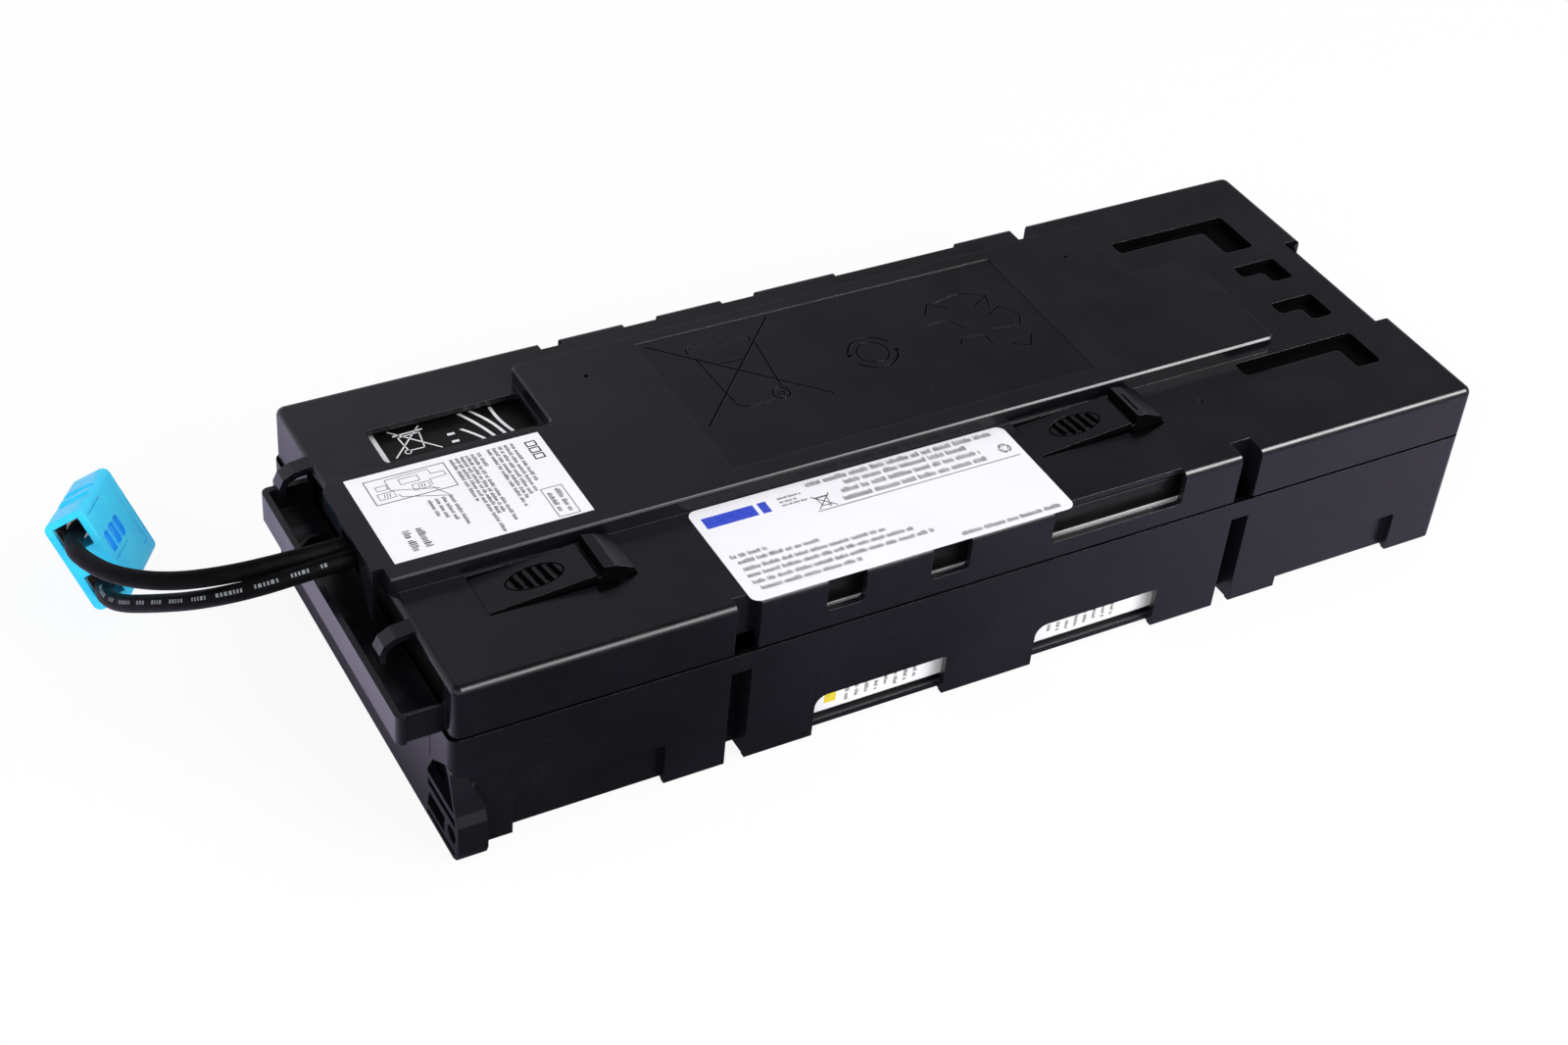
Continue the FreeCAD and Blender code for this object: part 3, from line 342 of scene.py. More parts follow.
for node, item in NODES.items():
    item.data.materials.clear()
    item.data.materials.append(FINISHES[SLOT_OF[node]])


# ---------------------------------------------------------------- pieces
def link_piece(name, mesh, materials, body):
    """New mesh object that rides on a body."""
    piece = bpy.data.objects.new(name, mesh)
    bpy.context.scene.collection.objects.link(piece)
    for material in materials:
        mesh.materials.append(material)
    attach(piece, body)
    return piece


FLAT, CREASE = math.radians(0.4), math.radians(30)  # turns within a flat region, at a crease
LARGE = 2e-5                # square metres from which a flat region shades flat
WELD = 2e-6                 # metres between corners of a CAD mesh that are one corner


def flat_regions(work):
    """Number of the flat region that each face belongs to, and the area of each region."""
    region, areas = {}, []
    for seed in work.faces:
        if seed in region:
            continue
        region[seed] = len(areas)
        area, waiting = 0.0, [seed]
        while waiting:
            face = waiting.pop()
            area += face.calc_area()
            for edge in face.edges:
                for other in edge.link_faces:
                    if other in region or other.normal.angle(seed.normal, math.pi) >= FLAT:
                        continue
                    region[other] = len(areas)
                    waiting.append(other)
        areas.append(area)
    return region, areas


def shade_by_region(mesh):
    """Large flat regions shade flat, and curved faces run smoothly into them."""
    work = bmesh.new()
    work.from_mesh(mesh)
    work.normal_update()
    region, areas = flat_regions(work)
    normals = []
    for face in work.faces:
        face.smooth = True
        own = areas[region[face]]
        for loop in face.loops:
            if own > LARGE:
                normals.append(face.normal.copy())
                continue
            total = Vector()
            for other in loop.vert.link_faces:
                if other.normal.angle(face.normal, math.pi) < CREASE:
                    total += other.normal * areas[region[other]]
            normals.append(total.normalized() if total.length else face.normal.copy())
    work.to_mesh(mesh)
    work.free()
    mesh.normals_split_custom_set(normals)


def engraved_copy(node, plates):
    """Copy of a CAD node with grooves cut into it, which stands for the node."""
    cutter = bpy.data.objects.new("cutter", plates.mesh("cutter"))
    bpy.context.scene.collection.objects.link(cutter)
    mesh = NODES[node].data.copy()
    mesh.materials.clear()
    work = bmesh.new()
    work.from_mesh(mesh)
    bmesh.ops.remove_doubles(work, verts=work.verts, dist=WELD)
    work.to_mesh(mesh)
    work.free()
    slot = SLOT_OF[node]
    piece = link_piece(node + "_moulding", mesh, [FINISHES[slot]], BODY_OF[node])
    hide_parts(node)
    carve = piece.modifiers.new("engraving", "BOOLEAN")
    carve.object = cutter
    carve.operation = "DIFFERENCE"
    carve.solver = "EXACT"
    carve.use_self = True
    graph = bpy.context.evaluated_depsgraph_get()
    carved = bpy.data.meshes.new_from_object(piece.evaluated_get(graph))
    piece.modifiers.clear()
    bpy.data.objects.remove(cutter)
    piece.data = carved
    shade_by_region(carved)
    return piece


def refinish(piece, material, chosen):
    """Another finish on the faces whose middle, in case millimetres, and normal are chosen."""
    piece.data.materials.append(material)
    number = len(piece.data.materials) - 1
    for face in piece.data.polygons:
        if chosen((face.center - CORNER) / MM, face.normal):
            face.material_index = number


class Plates:
    """Thin flat shapes on a plane, gathered in one mesh: print, or the cutter of an engraving."""

    TICKS = 4, 13                       # fewest and most ticks in a word
    TICK_WIDE = 0.13, 0.18, 0.25        # widths, heights and gaps, as shares of the line's height
    TICK_TALL = 0.74, 0.74, 1.0
    TICK_GAP, WORD_GAP = 0.14, 0.42
    BLOCK_PEN, BLOCK_SHARE = 0.55, 0.7  # line of a block, mm, and its share of the step
    RING_STEPS, BOW_STEPS = 24, 8

    def __init__(self, low, high, place=at):
        self.work = bmesh.new()
        self.low, self.high, self.place = low, high, place

    def outline(self, points, ink_number=0):
        """Prism over a closed outline."""
        base = [self.work.verts.new(self.place(x, y, self.low)) for x, y in points]
        top = [self.work.verts.new(self.place(x, y, self.high)) for x, y in points]
        faces = [self.work.faces.new(top), self.work.faces.new(list(reversed(base)))]
        for i in range(len(points)):
            j = (i + 1) % len(points)
            faces.append(self.work.faces.new([base[i], base[j], top[j], top[i]]))
        for face in faces:
            face.material_index = ink_number

    def box(self, x0, x1, y0, y1, ink_number=0):
        """Upright rectangle."""
        self.outline([(x0, y0), (x1, y0), (x1, y1), (x0, y1)], ink_number)

    def patch(self, corner, along, up, wide, tall):
        """Rectangle from a corner, in two directions."""
        a, b = corner + along * wide, corner + along * wide + up * tall
        self.outline([corner, a, b, corner + up * tall])

    def stroke(self, start, end, width):
        """Straight stroke with square ends."""
        a, b = Vector(start), Vector(end)
        along = (b - a).normalized() * width / 2
        side = Vector((-along.y, along.x))
        a, b = a - along, b + along
        self.outline([a - side, b - side, b + side, a + side])

    def line(self, points, width, closed=False):
        """Strokes along a list of corners."""
        corners = list(points) + [points[0]] if closed else list(points)
        for start, end in zip(corners, corners[1:]):
            self.stroke(start, end, width)

    def arrow_tip(self, point, size):
        """Small triangle that points along x."""
        long, back, half = size
        self.outline([point + Vector((long, 0)), point + Vector((-back, half)),
                      point + Vector((-back, -half))])

    def bowed_bar(self, start, end, lean, width):
        """Bar that bows sideways by lean at its middle, as one outline."""
        rails = [], []
        for step in range(self.BOW_STEPS + 1):
            part = step / self.BOW_STEPS
            x = start[0] + (end[0] - start[0]) * part + lean * math.sin(math.pi * part)
            y = start[1] + (end[1] - start[1]) * part
            rails[0].append((x - width / 2, y))
            rails[1].append((x + width / 2, y))
        self.outline(rails[0] + rails[1][::-1])

    def ring(self, centre, radius, width, start=0, end=360):
        """Ring, or an arc of one between two angles in degrees, of short straight pieces."""
        count = max(2, round(self.RING_STEPS * abs(end - start) / 360))
        inner, outer = radius - width / 2, radius + width / 2
        angles = [math.radians(start + (end - start) * i / count) for i in range(count + 1)]
        for a, b in zip(angles, angles[1:]):
            corners = [(inner, a), (outer, a), (outer, b), (inner, b)]
            self.outline([(centre[0] + r * math.cos(t), centre[1] + r * math.sin(t))
                          for r, t in corners])

    def words(self, start, along, up, length, height, chance):
        """A line of plain ticks in word-like groups: the grain of small print, not readable."""
        start, along, up = Vector(start), Vector(along), Vector(up)
        done = 0.0
        while done < length - height * 0.4:
            for _ in range(chance.randint(*self.TICKS)):
                wide = height * chance.choice(self.TICK_WIDE)
                if done + wide > length:
                    break
                tall = height * chance.choice(self.TICK_TALL)
                self.patch(start + along * done, along, up, wide, tall)
                done += wide + height * self.TICK_GAP
            done += height * self.WORD_GAP

    def blocks(self, start, along, up, length, height, count):
        """A heading as a row of plain outlined blocks."""
        start, along, up = Vector(start), Vector(along), Vector(up)
        step = length / count
        for number in range(count):
            corner = start + along * step * number
            wide, tall = along * step * self.BLOCK_SHARE, up * height
            self.line([corner, corner + wide, corner + wide + tall, corner + tall],
                      self.BLOCK_PEN, True)

    def mesh(self, name):
        """The gathered shapes as a mesh, which ends the gathering."""
        bmesh.ops.recalc_face_normals(self.work, faces=self.work.faces)
        mesh = bpy.data.meshes.new(name)
        self.work.to_mesh(mesh)
        self.work.free()
        return mesh


# ---------------------------------------------------------------- engravings
PANEL_DEPTH, SIGN_DEPTH = 0.45, 0.5                 # panel below the crown, signs below the panel
PANEL = CROWN - PANEL_DEPTH
SIGN_PEN = 0.66                                     # width of the engraved lines
JOINT_GAP, JOINT_DEPTH, JOINT_PEN = 1.1, 0.3, 2.2   # groove above and below the parting, its width
JOINT_CORNER = 3.5, 1                               # reach of a corner's cuts, and their middle
TROUGH = 5, 135                                     # stretch of the cable end without the groove
FACES_UP = 0.9                                      # least z of the normal of a level face
RELIEFS = (340, 426), (2, 163)                      # stretch of the deck with the L-shaped reliefs
RELIEF_DEPTH = 5


def in_panel(place, normal):
    """Floor of the panel of signs in the crown."""
    return normal.z > FACES_UP and abs(place.z - PANEL) < 0.1


def on_crown_wall(place, normal):
    """Front wall of the crown, which gets the case plastic with its gloss turned down: painted
    shade that keeps it dark.
    """
    return normal.y < -0.5 and DECK + 0.5 < place.z < CROWN - 0.3


def in_painted_shade(place, normal):
    """Inside of the reliefs, floors of the signs, and the inside of the groove at the joint: places
    that get painted shade.
    """
    (left, right), (front, back) = RELIEFS
    relief = (left < place.x < right and front < place.y < back
              and DECK - RELIEF_DEPTH < place.z < DECK - 0.3)
    sign = normal.z > FACES_UP and abs(place.z - (PANEL - SIGN_DEPTH)) < 0.2
    return relief or sign or PARTING - JOINT_DEPTH - 0.05 < place.z < PARTING + JOINT_GAP + 0.05


def on_rim(place, normal):
    """Top of the tray's rim, which lies in the shadow of the joint and gets it as painted shadow.
    """
    return normal.z > FACES_UP and abs(place.z - PARTING) < 0.05


def joint_line():
    """Line of the joint round the case's cut corners, from the cable trough and back to it."""
    long, wide = CASE_LONG, CASE_WIDE
    corner, cut = JOINT_CORNER
    return [(0, TROUGH[0]),
            (0, corner), (cut, cut), (corner, 0),
            (long - corner, 0), (long - cut, cut), (long, corner),
            (long, wide - corner), (long - cut, wide - cut), (long - corner, wide),
            (corner, wide), (cut, wide - cut), (0, wide - corner),
            (0, TROUGH[1])]


def engrave_bin(cutter):
    """The usual sign of a wheeled bin crossed out, in the crown."""
    pen = SIGN_PEN
    cutter.stroke((136.6, 138.8), (188.8, 86.5), pen)
    cutter.stroke((188.2, 139.0), (136.8, 86.4), pen)
    cutter.line([(150.1, 131.9), (176.3, 130.6), (175.4, 127.8), (149.3, 129.1)], pen, True)
    cutter.line([(152, 133.2), (159.3, 133.9), (166.4, 133.6), (175.4, 132.2)], pen)
    cutter.line([(150.7, 125.5), (151.6, 101.8), (152.3, 93.6), (156.5, 90.9), (167.0, 91.4)], pen)
    cutter.line([(176.6, 126.3), (172.9, 98.5)], pen)
    cutter.stroke((158.7, 119.1), (166.1, 118.5), 1.2)
    for radius in (3.3, 1.2):
        cutter.ring((170.7, 94), radius, pen)


def engrave_turning_arrows(cutter):
    """Two arrows that turn round a ring."""
    centre, radius = (215.2, 103.2), 9.6
    x, y = centre
    for start in (20, 200):
        cutter.ring(centre, radius, 0.9, start, start + 140)
        tip = math.radians(start + 150)
        cutter.arrow_tip(Vector((x + radius * math.cos(tip), y + radius * math.sin(tip))),
                         (1.8, 0.9, 1.6))
    cutter.ring(centre, 6.3, 0.7)


def engrave_folded_arrows(cutter):
    """Three folded arrows in a triangle, the usual sign for recycling."""
    for loop in (((254.3, 122.7), (265.8, 124.6), (275.9, 119.5)),
                 ((269.9, 107.6), (277, 111.3), (281.4, 102.9), (277.9, 97.4), (267.2, 99)),
                 ((249.4, 94.5), (252, 98.7), (261.2, 97.1), (261.3, 90.7)),
                 ((243.7, 110.7), (252.6, 110.7), (256.8, 103.2)),
                 ((267.8, 88.1), (274.4, 84.3), (279.0, 90.5)),
                 ((246.2, 116.4), (250.9, 122.9), (257.7, 116.9)),
                 ((268.2, 115.0), (275.9, 119.5), (272.9, 112.0))):
        cutter.line(loop, SIGN_PEN)


def make_cover():
    """Cover with its panel of signs, and the fine groove above the joint with the tray."""
    cutter = Plates(PANEL, CROWN + 0.4)
    cutter.outline([(133.4, 141.7), (290.2, 140.8), (289.6, 61.6), (132.8, 60.4)])
    cutter.low -= SIGN_DEPTH
    engrave_bin(cutter)
    engrave_turning_arrows(cutter)
    engrave_folded_arrows(cutter)
    cutter.low, cutter.high = PARTING - JOINT_DEPTH, PARTING + JOINT_GAP
    cutter.line(joint_line(), JOINT_PEN)
    cover = engraved_copy("upper_cover", cutter)
    refinish(cover, PANEL_BLACK, in_panel)
    refinish(cover, WALL_SHADED_BLACK, on_crown_wall)
    # painted shade in the reliefs, the floors of the signs and the groove at the joint
    refinish(cover, PAINTED_SHADE, in_painted_shade)


RAMP_RUN, RAMP_RISE = 39.4, 3.5                     # ramp of a release tab, from its hinge
PAD_RUN, PAD_ACROSS = 20.6, 9.6                     # middle of its oval thumb pad
PAD_HALF_LONG, PAD_HALF_WIDE = 10.2, 4.9
GAPS, GAP_STEP, GAP_DEPTH = 5, 3.6, 1.1             # gaps between the pad's ribs
GAP_CORNERS = (-1.5, 1), (-0.1, -1), (1.9, -1), (0.5, 1)     # along the tab, and side of the pad
RIM_STEPS, RIM_WIDE, RIM_DEPTH = 28, 0.6, 0.7       # groove round the pad
PAD_CLEAR = 1.5                                     # reach of the cutter above the ramp


def ramp_level(run):
    """Height of a tab's ramp at a distance from its hinge."""
    return DECK + RAMP_RISE * run / RAMP_RUN


def make_thumb_pad(node):
    """Oval thumb pad on a release tab: gaps between ribs, and a groove round them, with painted
    shade in them and on the tab's sides.
    """
    corner = (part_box(node)[0] - CORNER) / MM
    middle = corner.y + PAD_ACROSS
    cutter = Plates(0, 0)
    for gap in range(GAPS):
        offset = (gap - GAPS // 2) * GAP_STEP
        run = PAD_RUN + offset
        half = PAD_HALF_WIDE * math.sqrt(1 - (offset / PAD_HALF_LONG) ** 2)
        cutter.low, cutter.high = ramp_level(run) - GAP_DEPTH, ramp_level(run) + PAD_CLEAR
        cutter.outline([(corner.x + run + along, middle + side * half)
                        for along, side in GAP_CORNERS])
    turns = [math.tau * step / RIM_STEPS for step in range(RIM_STEPS + 1)]
    for a, b in zip(turns, turns[1:]):
        run = PAD_RUN + PAD_HALF_LONG * math.cos((a + b) / 2)
        cutter.low, cutter.high = ramp_level(run) - RIM_DEPTH, ramp_level(run) + PAD_CLEAR
        cutter.outline([(corner.x + PAD_RUN + (PAD_HALF_LONG + out) * math.cos(turn),
                         middle + (PAD_HALF_WIDE + out) * math.sin(turn))
                        for out, turn in ((0, a), (RIM_WIDE, a), (RIM_WIDE, b), (0, b))])

    def in_grip_or_side_shade(place, normal):
        """Inside of the grooves, and the upright sides of the tab: places that get painted shade.
        """
        run = place.x - corner.x
        in_pad = (abs(run - PAD_RUN) < PAD_HALF_LONG + 0.8
                  and abs(place.y - middle) < PAD_HALF_WIDE + 0.8)
        sunk = ramp_level(run) - 1.4 < place.z < ramp_level(run) - 0.2
        return (in_pad and sunk) or abs(normal.z) < 0.5

    # the pad's grooves and the tab's upright sides get painted shade
    refinish(engraved_copy(node, cutter), PAINTED_SHADE, in_grip_or_side_shade)


make_cover()
for tab in ("release_tab_1", "release_tab_2"):
    make_thumb_pad(tab)
# the tray's rim gets painted shadow from the joint above it
refinish(NODES["lower_tray"], PAINTED_SHADE, on_rim)

# ---------------------------------------------------------------- labels
PRINT_RISE = 0.03           # how far the ink stands over its film
PRINT_ROOT = 0.1            # how far it reaches into the film
LABEL_THICK = 0.2
SHORT_LABEL_TOP = 57.2      # height at which the second block's label ends


def print_on(level):
    """Print on a level surface."""
    return Plates(level - PRINT_ROOT, level + PRINT_RISE)


def crossed_bin(plates, centre, size, pen):
    """The usual sign of a wheeled bin crossed out."""
    x, y = centre
    s = size / 2
    plates.line([(x - 0.62 * s, y + 0.66 * s), (x - 0.44 * s, y - 0.62 * s),
                 (x + 0.40 * s, y - 0.62 * s), (x + 0.58 * s, y + 0.66 * s)], pen, True)
    plates.stroke((x - 0.82 * s, y + 0.72 * s), (x + 0.80 * s, y + 0.72 * s), pen * 1.5)
    plates.ring((x + 0.30 * s, y - 0.74 * s), 0.15 * s, pen)
    plates.stroke((x - s, y + s), (x + s, y - s), pen * 1.2)
    plates.stroke((x - s, y - s), (x + s, y + s), pen * 1.2)


def turning_arrows(plates, centre):
    """Three small arrows that turn round a centre."""
    x, y = centre
    for turn in range(3):
        middle = 90 + turn * 120
        for radius, pen in ((2.3, 0.5), (1.4, 0.3)):
            plates.ring(centre, radius, pen, middle - 42, middle + 42)
        tip = math.radians(middle + 52)
        plates.arrow_tip(Vector((x + 2.0 * math.cos(tip), y + 2.0 * math.sin(tip))),
                         (0.7, 0.4, 0.7))


def draw_case(plates):
    """Line drawing of the case with its two tabs and the leaders that point at them."""
    plates.line([(10.1, 89.6), (40, 89.6), (40, 103), (10.1, 103)], 0.35, True)
    plates.line([(33.7, 90.6), (17.4, 95.6), (17.4, 101.5), (33.4, 101.8), (33.7, 99.1),
                 (38.2, 98.9), (38.5, 96.6), (32.2, 96.4), (32.2, 93.2)], 0.25)
    plates.line([(21.9, 97.2), (28.9, 97.2), (28.9, 100.2), (21.9, 100.2)], 0.25, True)
    plates.line([(12.9, 96.6), (16.9, 96.6), (16.9, 98.9), (12.9, 98.9)], 0.25, True)
    for x, y in ((28.2, 94.1), (15.2, 93.4)):
        plates.line([(x - 3, y - 1.6), (x + 3, y - 1.6), (x + 3, y + 1.6), (x - 3, y + 1.6)],
                    0.22, True)
        for step in range(3):
            plates.stroke((x - 1 + step, y - 0.9), (x - 0.6 + step, y + 0.9), 0.28)
    for leader in (((31.7, 92.1), (32.6, 90.1), (35.3, 86.1)),
                   ((19.2, 92.6), (19.9, 90.9), (35.1, 85.6))):
        plates.line(leader, 0.25)


def print_instructions():
    """Diagram, text lines and a plain outline on the label over the cable end."""
    chance = random.Random(4)
    plates = print_on(CROWN_LABEL)
    draw_case(plates)
    plates.blocks((70.9, 102.3), DOWN, RIGHT, 11.0, 3.6, 3)
    for x, start, end in ((65.6, 103.7, 81.1), (63.2, 103.7, 75.7), (60.9, 103.7, 74.8),
                          (58.7, 103.7, 73.7), (56.6, 103.7, 69.5),
                          (52.7, 103.4, 95.3), (50.4, 103.4, 64.2), (48.3, 103.4, 69.7),
                          (46.4, 103.4, 69.9), (44.4, 103.4, 59.7), (42.3, 103.4, 78.3),
                          (34.7, 85.5, 68.5), (32.0, 85.5, 72.2), (29.4, 85.5, 74.6),
                          (26.8, 85.5, 76.0)):
        plates.words((x, start), DOWN, RIGHT, start - end, 1.5, chance)
    plates.line([(65.1, 59.9), (73.0, 59.9), (73.0, 76), (65.1, 76)], 0.3, True)
    for x, start, length, height in ((69.6, 74.6, 13.2, 1.9), (66.2, 73.2, 11.0, 1.9),
                                     (17.2, 73.2, 11.4, 2.7), (12.4, 73.4, 11.8, 2.7)):
        plates.words((x, start), DOWN, RIGHT, length, height, chance)
    link_piece("instruction_print", plates.mesh("instruction_print"), [BLACK_INK], "case")


def print_front_label():
    """Plain blue field, headings, a rule, a crossed bin, turning arrows and text lines."""
    chance = random.Random(11)
    plates = print_on(DECK_LABEL)
    for left, right in ((113, 133.5), (135.2, 138.6)):
        plates.box(left, right, 40.7, 46.5, 1)
    for y, length in ((45.4, 9.5), (43.4, 7.0), (41.5, 10.0)):
        plates.words((143.2, y), RIGHT, UP, length, 1.1, chance)
    for y, start, end in ((47.8, 156.4, 235), (44.1, 170.2, 221.8), (40.1, 166.9, 225.8),
                          (35.9, 165.6, 226.6)):
        plates.words((start, y), RIGHT, UP, end - start, 2.5, chance)
    plates.stroke((153.7, 34.1), (238.4, 34.1), 0.35)
    crossed_bin(plates, (158.4, 38.6), 7.0, 0.32)
    turning_arrows(plates, (235, 39.5))
    plates.words((194.6, 2.5), RIGHT, UP, 42.0, 2.1, chance)
    for y, start, end in ((23.0, 113, 127.6), (19.6, 114.4, 146), (15.7, 114.3, 170.8),
                          (12.2, 114.1, 180.1), (8.5, 114.2, 186.4), (4.9, 115.6, 155.1)):
        plates.words((start, y), RIGHT, UP, end - start, 2.05, chance)
    link_piece("front_label_print", plates.mesh("front_label_print"), [BLACK_INK, BLUE_INK],
               "case")


def print_block_top():
    """Plain white marks on the block that shows through the cover's window."""
    plates = print_on(BLOCK_TOP)
    plates.box(26.1, 28.7, 118, 141.5)
    plates.line([(34.3, 140.9), (49.1, 125.7)], 0.55)
    plates.line([(45.7, 140.4), (31.8, 125.9)], 0.55)
    plates.line([(36.4, 136.6), (37.4, 128.2), (43.4, 128.0), (44.8, 137.0)], 0.5, True)
    plates.stroke((35.2, 137.9), (46.2, 138.3), 0.7)
    plates.ring((36.9, 127.6), 1.1, 0.4)
    for start, end, lean in (((62.1, 141.5), (69.2, 124.6), 0.6),
                             ((66.6, 141.5), (73.4, 124.6), 0.9),
                             ((74.2, 141.0), (76.6, 124.6), -0.8),
                             ((59.4, 132.8), (65.3, 124.4), 0.3)):
        plates.bowed_bar(start, end, lean, 1.3)
    plates.box(53.6, 56.4, 130.9, 132.1)
    plates.box(53.6, 56.4, 126.4, 127.6)
    link_piece("block_print", plates.mesh("block_print"), [WHITE_INK], "case")


def on_end(x, z, y):
    """A place on the blocks' front ends: along the case, up, and out towards the front."""
    return at(x, -y, z)


def make_short_label():
    """The second block's label ends lower than the others: the cover's slits show its edge."""
    low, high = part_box("battery_2_end_label")
    left, right = ((corner.x - CORNER.x) / MM for corner in (low, high))
    sheet = Plates(-LABEL_FACE - LABEL_THICK, -LABEL_FACE, on_end)
    sheet.box(left, right, low.z / MM, SHORT_LABEL_TOP)
    piece = link_piece("battery_2_label_sheet", sheet.mesh("battery_2_label_sheet"), [END_FILM_LIT],
                       "case")
    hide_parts("battery_2_end_label")


def print_end_labels():
    """Columns of fine print on the labels at the front ends of the two middle blocks."""
    chance = random.Random(23)
    plates = Plates(-LABEL_FACE - PRINT_ROOT, -LABEL_FACE + PRINT_RISE, on_end)
    for first in (155.2, 242.8):
        for column in range(8):
            length = chance.uniform(12.6, 14.6)
            plates.words((first + 4.1 * column, 20.5), DOWN, RIGHT, length, 1.7, chance)
    plates.box(146.6, 151.4, 7.8, 13.6, 1)
    link_piece("end_label_print", plates.mesh("end_label_print"), [BLACK_INK, YELLOW_INK],
               "case")


make_short_label()
print_instructions()
print_front_label()
print_block_top()
print_end_labels()

# ---------------------------------------------------------------- connector and free leads
PLUG_CENTRE = Vector((-74.7, 153.5, 33.92))          # middle of the wire face
PLUG_ACROSS = Vector((0.3292, -0.4888, -0.8079))     # from the upper pole to the lower one
PLUG_ALONG = Vector((0.4309, 0.8391, -0.3320))       # from the wire face to the mating face
PLUG_OUT = PLUG_ACROSS.cross(PLUG_ALONG)             # out from the broad face that shows
PLUG_HALF_THICK = 8.0
SLOT_DEPTH = 1.6
SLOT_STARTS = 4.7, 13.3, 20.6                        # from the wire face
SLOT_CORNERS = (-4.3, 0), (-5.3, 2.4), (-4.4, 6.2), (2.0, 6.4), (3.1, 4.6), (2.3, 0)
POLE = 10.2                                          # from the middle to a pole
BARREL = 9.0                                         # from the wire face to a contact's barrel
LEAD_DIAMETER = 0.0065                               # metres, as are the lengths and gaps below
MARK_LENGTHS = 0.0006, 0.0009, 0.0011
MARK_GAP, GROUP_GAP = 0.0006, 0.0035
MARKS_START, MARKS_END = 0.010, 0.118
MARK_RISE = 0.00004
MARK_HALF_WIDTH = math.radians(12)                   # turn round the lead
MARKS_FACE = Vector((-0.30, -0.62, 0.72))            # way that the marks on the lead face


def plug_point(across, along):
    """Place on the connector's middle plane, in case millimetres."""
    return PLUG_CENTRE + PLUG_ACROSS * across + PLUG_ALONG * along


def on_plug(across, along, out):
    """A place over the connector's broad face, out from it."""
    return at(*(plug_point(across, along) + PLUG_OUT * (PLUG_HALF_THICK + out)))


def in_slot(place, normal):
    """Inside of the connector's slots, which get painted shade."""
    local = place - PLUG_CENTRE
    depth = PLUG_HALF_THICK - local.dot(PLUG_OUT)
    return (0.1 < depth < 2.0 and -5.8 < local.dot(PLUG_ACROSS) < 3.6
            and 4 < local.dot(PLUG_ALONG) < 28)


def make_plug_slots():
    """Leaf-shaped thumb slots in the connector's broad face, with painted shade inside: a deeper
    blue.
    """
    cutter = Plates(-SLOT_DEPTH, 1.0, on_plug)
    for start in SLOT_STARTS:
        cutter.outline([(across, start + along) for across, along in SLOT_CORNERS])
    refinish(engraved_copy("connector_housing", cutter), SHADED_BLUE, in_slot)


POSITIVE_ROUTE = [(-4.2, 82.5, 72.8), (-24, 82.5, 72.8), (-44.5, 86.5, 70.0), (-62.0, 98.0, 63.5),
                  (-75.0, 116.5, 56.0), (-81.0, 138.5, 49.0),
                  plug_point(-POLE, -5), plug_point(-POLE, BARREL)]
NEGATIVE_ROUTE = [(-4.2, 75.5, 72.8), (-22, 75.2, 72.2), (-39.2, 78.8, 67.9), (-54.0, 91.0, 58.3),
                  (-65.0, 108.0, 46.9), (-73.5, 127.0, 34.5),
                  plug_point(POLE, -6), plug_point(POLE, BARREL)]


def route_curve(name, route):
    """Smooth NURBS line on a route in case millimetres."""
    data = bpy.data.curves.new(name, "CURVE")
    data.dimensions = "3D"
    data.resolution_u = 16
    spline = data.splines.new("NURBS")
    spline.points.add(len(route) - 1)
    for point, place in zip(spline.points, route):
        point.co = (*at(*place), 1)
    spline.order_u = 3
    spline.use_endpoint_u = True
    return data


def make_lead(name, node, route):
    """Round free lead."""
    data = route_curve(name, route)
    data.bevel_depth = LEAD_DIAMETER / 2
    data.bevel_resolution = 7
    data.use_fill_caps = True
    data.materials.append(LEAD_BLACK)
    lead = bpy.data.objects.new(name, data)
    bpy.context.scene.collection.objects.link(lead)
    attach(lead, "case")
    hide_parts(node)


def centre_line(route):
    """Points read along the smooth line of a route."""
    line = bpy.data.objects.new("line", route_curve("line", route))
    bpy.context.scene.collection.objects.link(line)
    graph = bpy.context.evaluated_depsgraph_get()
    mesh = bpy.data.meshes.new_from_object(line.evaluated_get(graph))
    points = [vertex.co.copy() for vertex in mesh.vertices]
    bpy.data.objects.remove(line)
    return points


def place_along(points, distance):
    """Place and direction at a distance along a line of points."""
    for first, second in zip(points, points[1:]):
        step = (second - first).length
        if distance <= step:
            return first + (second - first) * (distance / step), (second - first).normalized()
        distance -= step
    return points[-1], (points[-1] - points[-2]).normalized()


def make_lead_print(name, route, face_to):
    """Pale marks printed in groups along a lead, curved with its surface."""
    chance = random.Random(31)
    points = centre_line(route)
    work = bmesh.new()
    radius = LEAD_DIAMETER / 2 + MARK_RISE
    half = MARK_HALF_WIDTH
    start = MARKS_START
    while start < MARKS_END:
        for _ in range(chance.randint(2, 7)):
            length = chance.choice(MARK_LENGTHS)
            rows = []
            for distance in (start, start + length):
                centre, along = place_along(points, distance)
                out = (face_to - along * face_to.dot(along)).normalized()
                side = along.cross(out)
                spokes = [out * math.cos(turn) + side * math.sin(turn)
                          for turn in (-half, -half / 3, half / 3, half)]
                rows.append([work.verts.new(centre + spoke * radius) for spoke in spokes])
            near, far = rows
            for left in range(3):
                work.faces.new([near[left], far[left], far[left + 1], near[left + 1]])
            start += length + MARK_GAP
        start += GROUP_GAP
    mesh = bpy.data.meshes.new(name)
    work.to_mesh(mesh)
    work.free()
    link_piece(name, mesh, [LEAD_PRINT], "case")


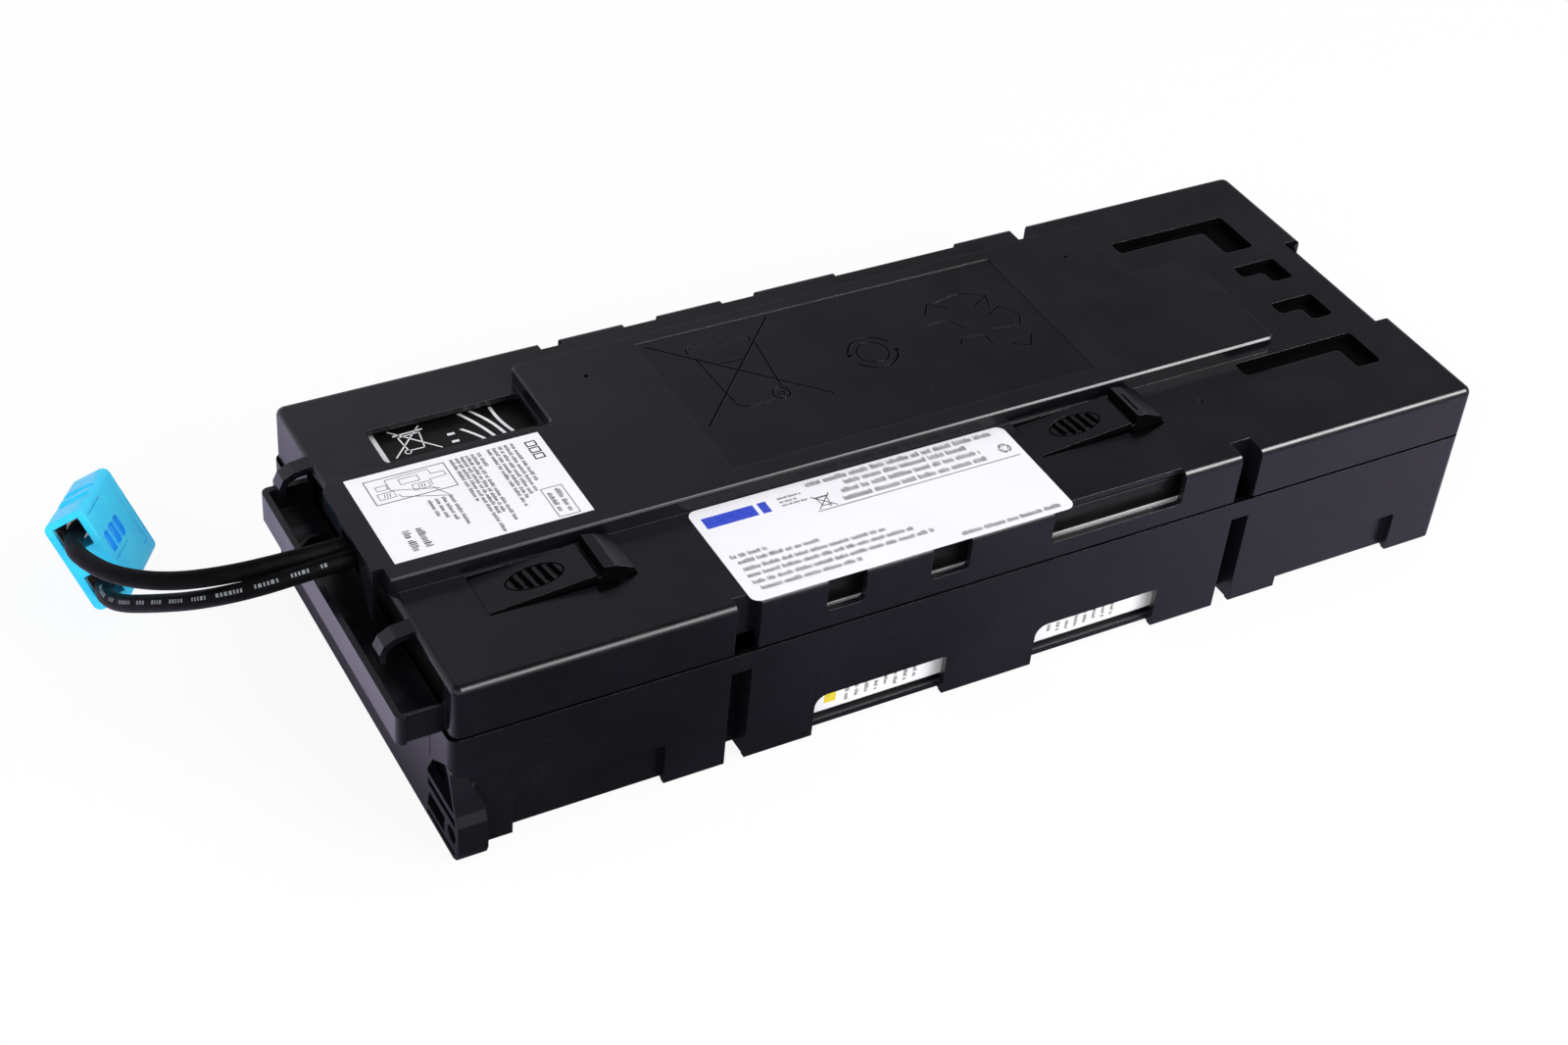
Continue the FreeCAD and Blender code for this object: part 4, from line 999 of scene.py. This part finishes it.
make_plug_slots()
make_lead_print("negative_cable_print", NEGATIVE_ROUTE, MARKS_FACE)
make_lead("positive_cable", "positive_lead", POSITIVE_ROUTE)
make_lead("negative_cable", "negative_lead", NEGATIVE_ROUTE)

# ---------------------------------------------------------------- floor and light
FLOOR_SIZE = 8
FLOOR_WHITE = 0.9           # share of plain white in what the camera sees; the rest takes shadow


def floor_sheen(nodes):
    """Strength of the floor's sheen in reflections: dim in front, bright beside the cable end."""
    split = nodes.add("ShaderNodeSeparateXYZ")
    nodes.link(nodes.add("ShaderNodeTexCoord").outputs["Object"], split.inputs[0])
    x, y = split.outputs["X"], split.outputs["Y"]
    along = nodes.spread(x, 0.06, 0.62, -0.18, 0.34, "SMOOTHERSTEP")
    near = nodes.spread(y, 0.12, 1.0, -0.45, -0.28, "SMOOTHSTEP")
    beside = nodes.spread(x, 0.0, 1.0, -0.20, -0.27)
    behind = nodes.spread(y, 0.0, 1.0, -0.14, -0.02)
    return nodes.combine("MULTIPLY_ADD", nodes.combine("MULTIPLY", beside, behind), 1.25,
                         nodes.combine("MULTIPLY", along, near))


def make_floor():
    """Pale floor: white to the camera with a soft shadow, and a dimmer sheen in reflections."""
    bpy.ops.mesh.primitive_plane_add(size=FLOOR_SIZE, location=(0, 0, 0))
    floor = bpy.context.object
    floor.name = "floor"
    material = bpy.data.materials.new("floor")
    material.use_nodes = True
    material.node_tree.nodes.clear()
    nodes = Nodes(material.node_tree)
    diffuse = nodes.add("ShaderNodeBsdfDiffuse")
    diffuse.inputs["Color"].default_value = (0.86, 0.86, 0.86, 1)
    white = nodes.add("ShaderNodeEmission")
    white.inputs["Strength"].default_value = 1.0
    sheen = nodes.add("ShaderNodeEmission")
    sheen.inputs["Color"].default_value = (0.88, 0.80, 1.08, 1)
    nodes.link(floor_sheen(nodes), sheen.inputs["Strength"])
    rays = nodes.add("ShaderNodeLightPath").outputs
    share = nodes.combine("MULTIPLY", rays["Is Camera Ray"], FLOOR_WHITE)
    seen = nodes.choose(share, diffuse.outputs[0], white.outputs[0])
    surface = nodes.choose(rays["Is Glossy Ray"], seen, sheen.outputs[0])
    nodes.link(surface, nodes.add("ShaderNodeOutputMaterial").inputs["Surface"])
    floor.data.materials.append(material)


WORLD_LIGHT = 0.6           # level at which the surround lights the object


def make_world():
    """Even pale surround; in reflections it is dim, and dark overhead."""
    world = bpy.data.worlds.new("world")
    bpy.context.scene.world = world
    world.use_nodes = True
    nodes = Nodes(world.node_tree)
    background = world.node_tree.nodes["Background"]
    background.inputs["Color"].default_value = (0.95, 0.93, 1.0, 1)
    split = nodes.add("ShaderNodeSeparateXYZ")
    nodes.link(nodes.add("ShaderNodeTexCoord").outputs["Generated"], split.inputs[0])
    x, z = split.outputs["X"], split.outputs["Z"]
    away = nodes.spread(x, 0.65, 0.15, 0.13, 0.55, "SMOOTHSTEP")
    overhead = nodes.spread(z, 1.0, 0.04, 0.60, 0.80, "SMOOTHSTEP")
    horizon = nodes.spread(z, 0.40, 0.0, 0.10, 0.45, "SMOOTHSTEP")
    mirrored = nodes.combine("ADD", nodes.combine("MULTIPLY", away, overhead), horizon)
    level = nodes.add("ShaderNodeMix", data_type="FLOAT")
    level.inputs["A"].default_value = WORLD_LIGHT
    camera = nodes.add("ShaderNodeMix", data_type="FLOAT")
    camera.inputs["B"].default_value = 1.0
    rays = nodes.add("ShaderNodeLightPath").outputs
    nodes.link(mirrored, level.inputs["B"])
    nodes.link(rays["Is Glossy Ray"], level.inputs["Factor"])
    nodes.link(rays["Is Camera Ray"], camera.inputs["Factor"])
    nodes.link(level.outputs["Result"], camera.inputs["A"])
    nodes.link(camera.outputs["Result"], background.inputs["Strength"])


# name: place, point aimed at, width and height in metres, radiance, seen only in gloss
LAMPS = {
    "softbox": ((0.66, -1.23, 0.72), (0, 0, 0.04), 1.0, 0.7, 6.0, False),
    "overhead": ((0.6, -0.25, 1.45), (-0.05, 0, 0), 1.3, 1.3, 1.8, False),
    "left_fill": ((-1.25, -0.75, 0.85), (-0.25, 0.08, 0.04), 0.8, 0.8, 5.0, False),
    "broad_glint": ((0.62, -0.86, 1.14), (0, 0, 0.06), 1.5, 0.9, 7.0, True),
    "right_glint": ((1.10, -0.70, 1.08), (0.15, 0, 0.06), 0.6, 0.7, 12.0, True),
}


def make_lamp(name, place, aim, wide, tall, radiance, glossy):
    """Rectangular lamp turned towards a point: it lights, or it shows in gloss."""
    data = bpy.data.lights.new(name, "AREA")
    data.shape = "RECTANGLE"
    data.size, data.size_y = wide, tall
    data.energy = radiance * math.pi * wide * tall
    lamp = bpy.data.objects.new(name, data)
    bpy.context.scene.collection.objects.link(lamp)
    lamp.location = place
    lamp.rotation_mode = "QUATERNION"
    lamp.rotation_quaternion = (Vector(aim) - Vector(place)).to_track_quat("-Z", "Y")
    lamp.visible_camera = False
    lamp.visible_glossy = glossy
    lamp.visible_diffuse = not glossy


make_floor()
make_world()
for name, settings in LAMPS.items():
    make_lamp(name, *settings)
bpy.context.scene.view_settings.view_transform = "Standard"
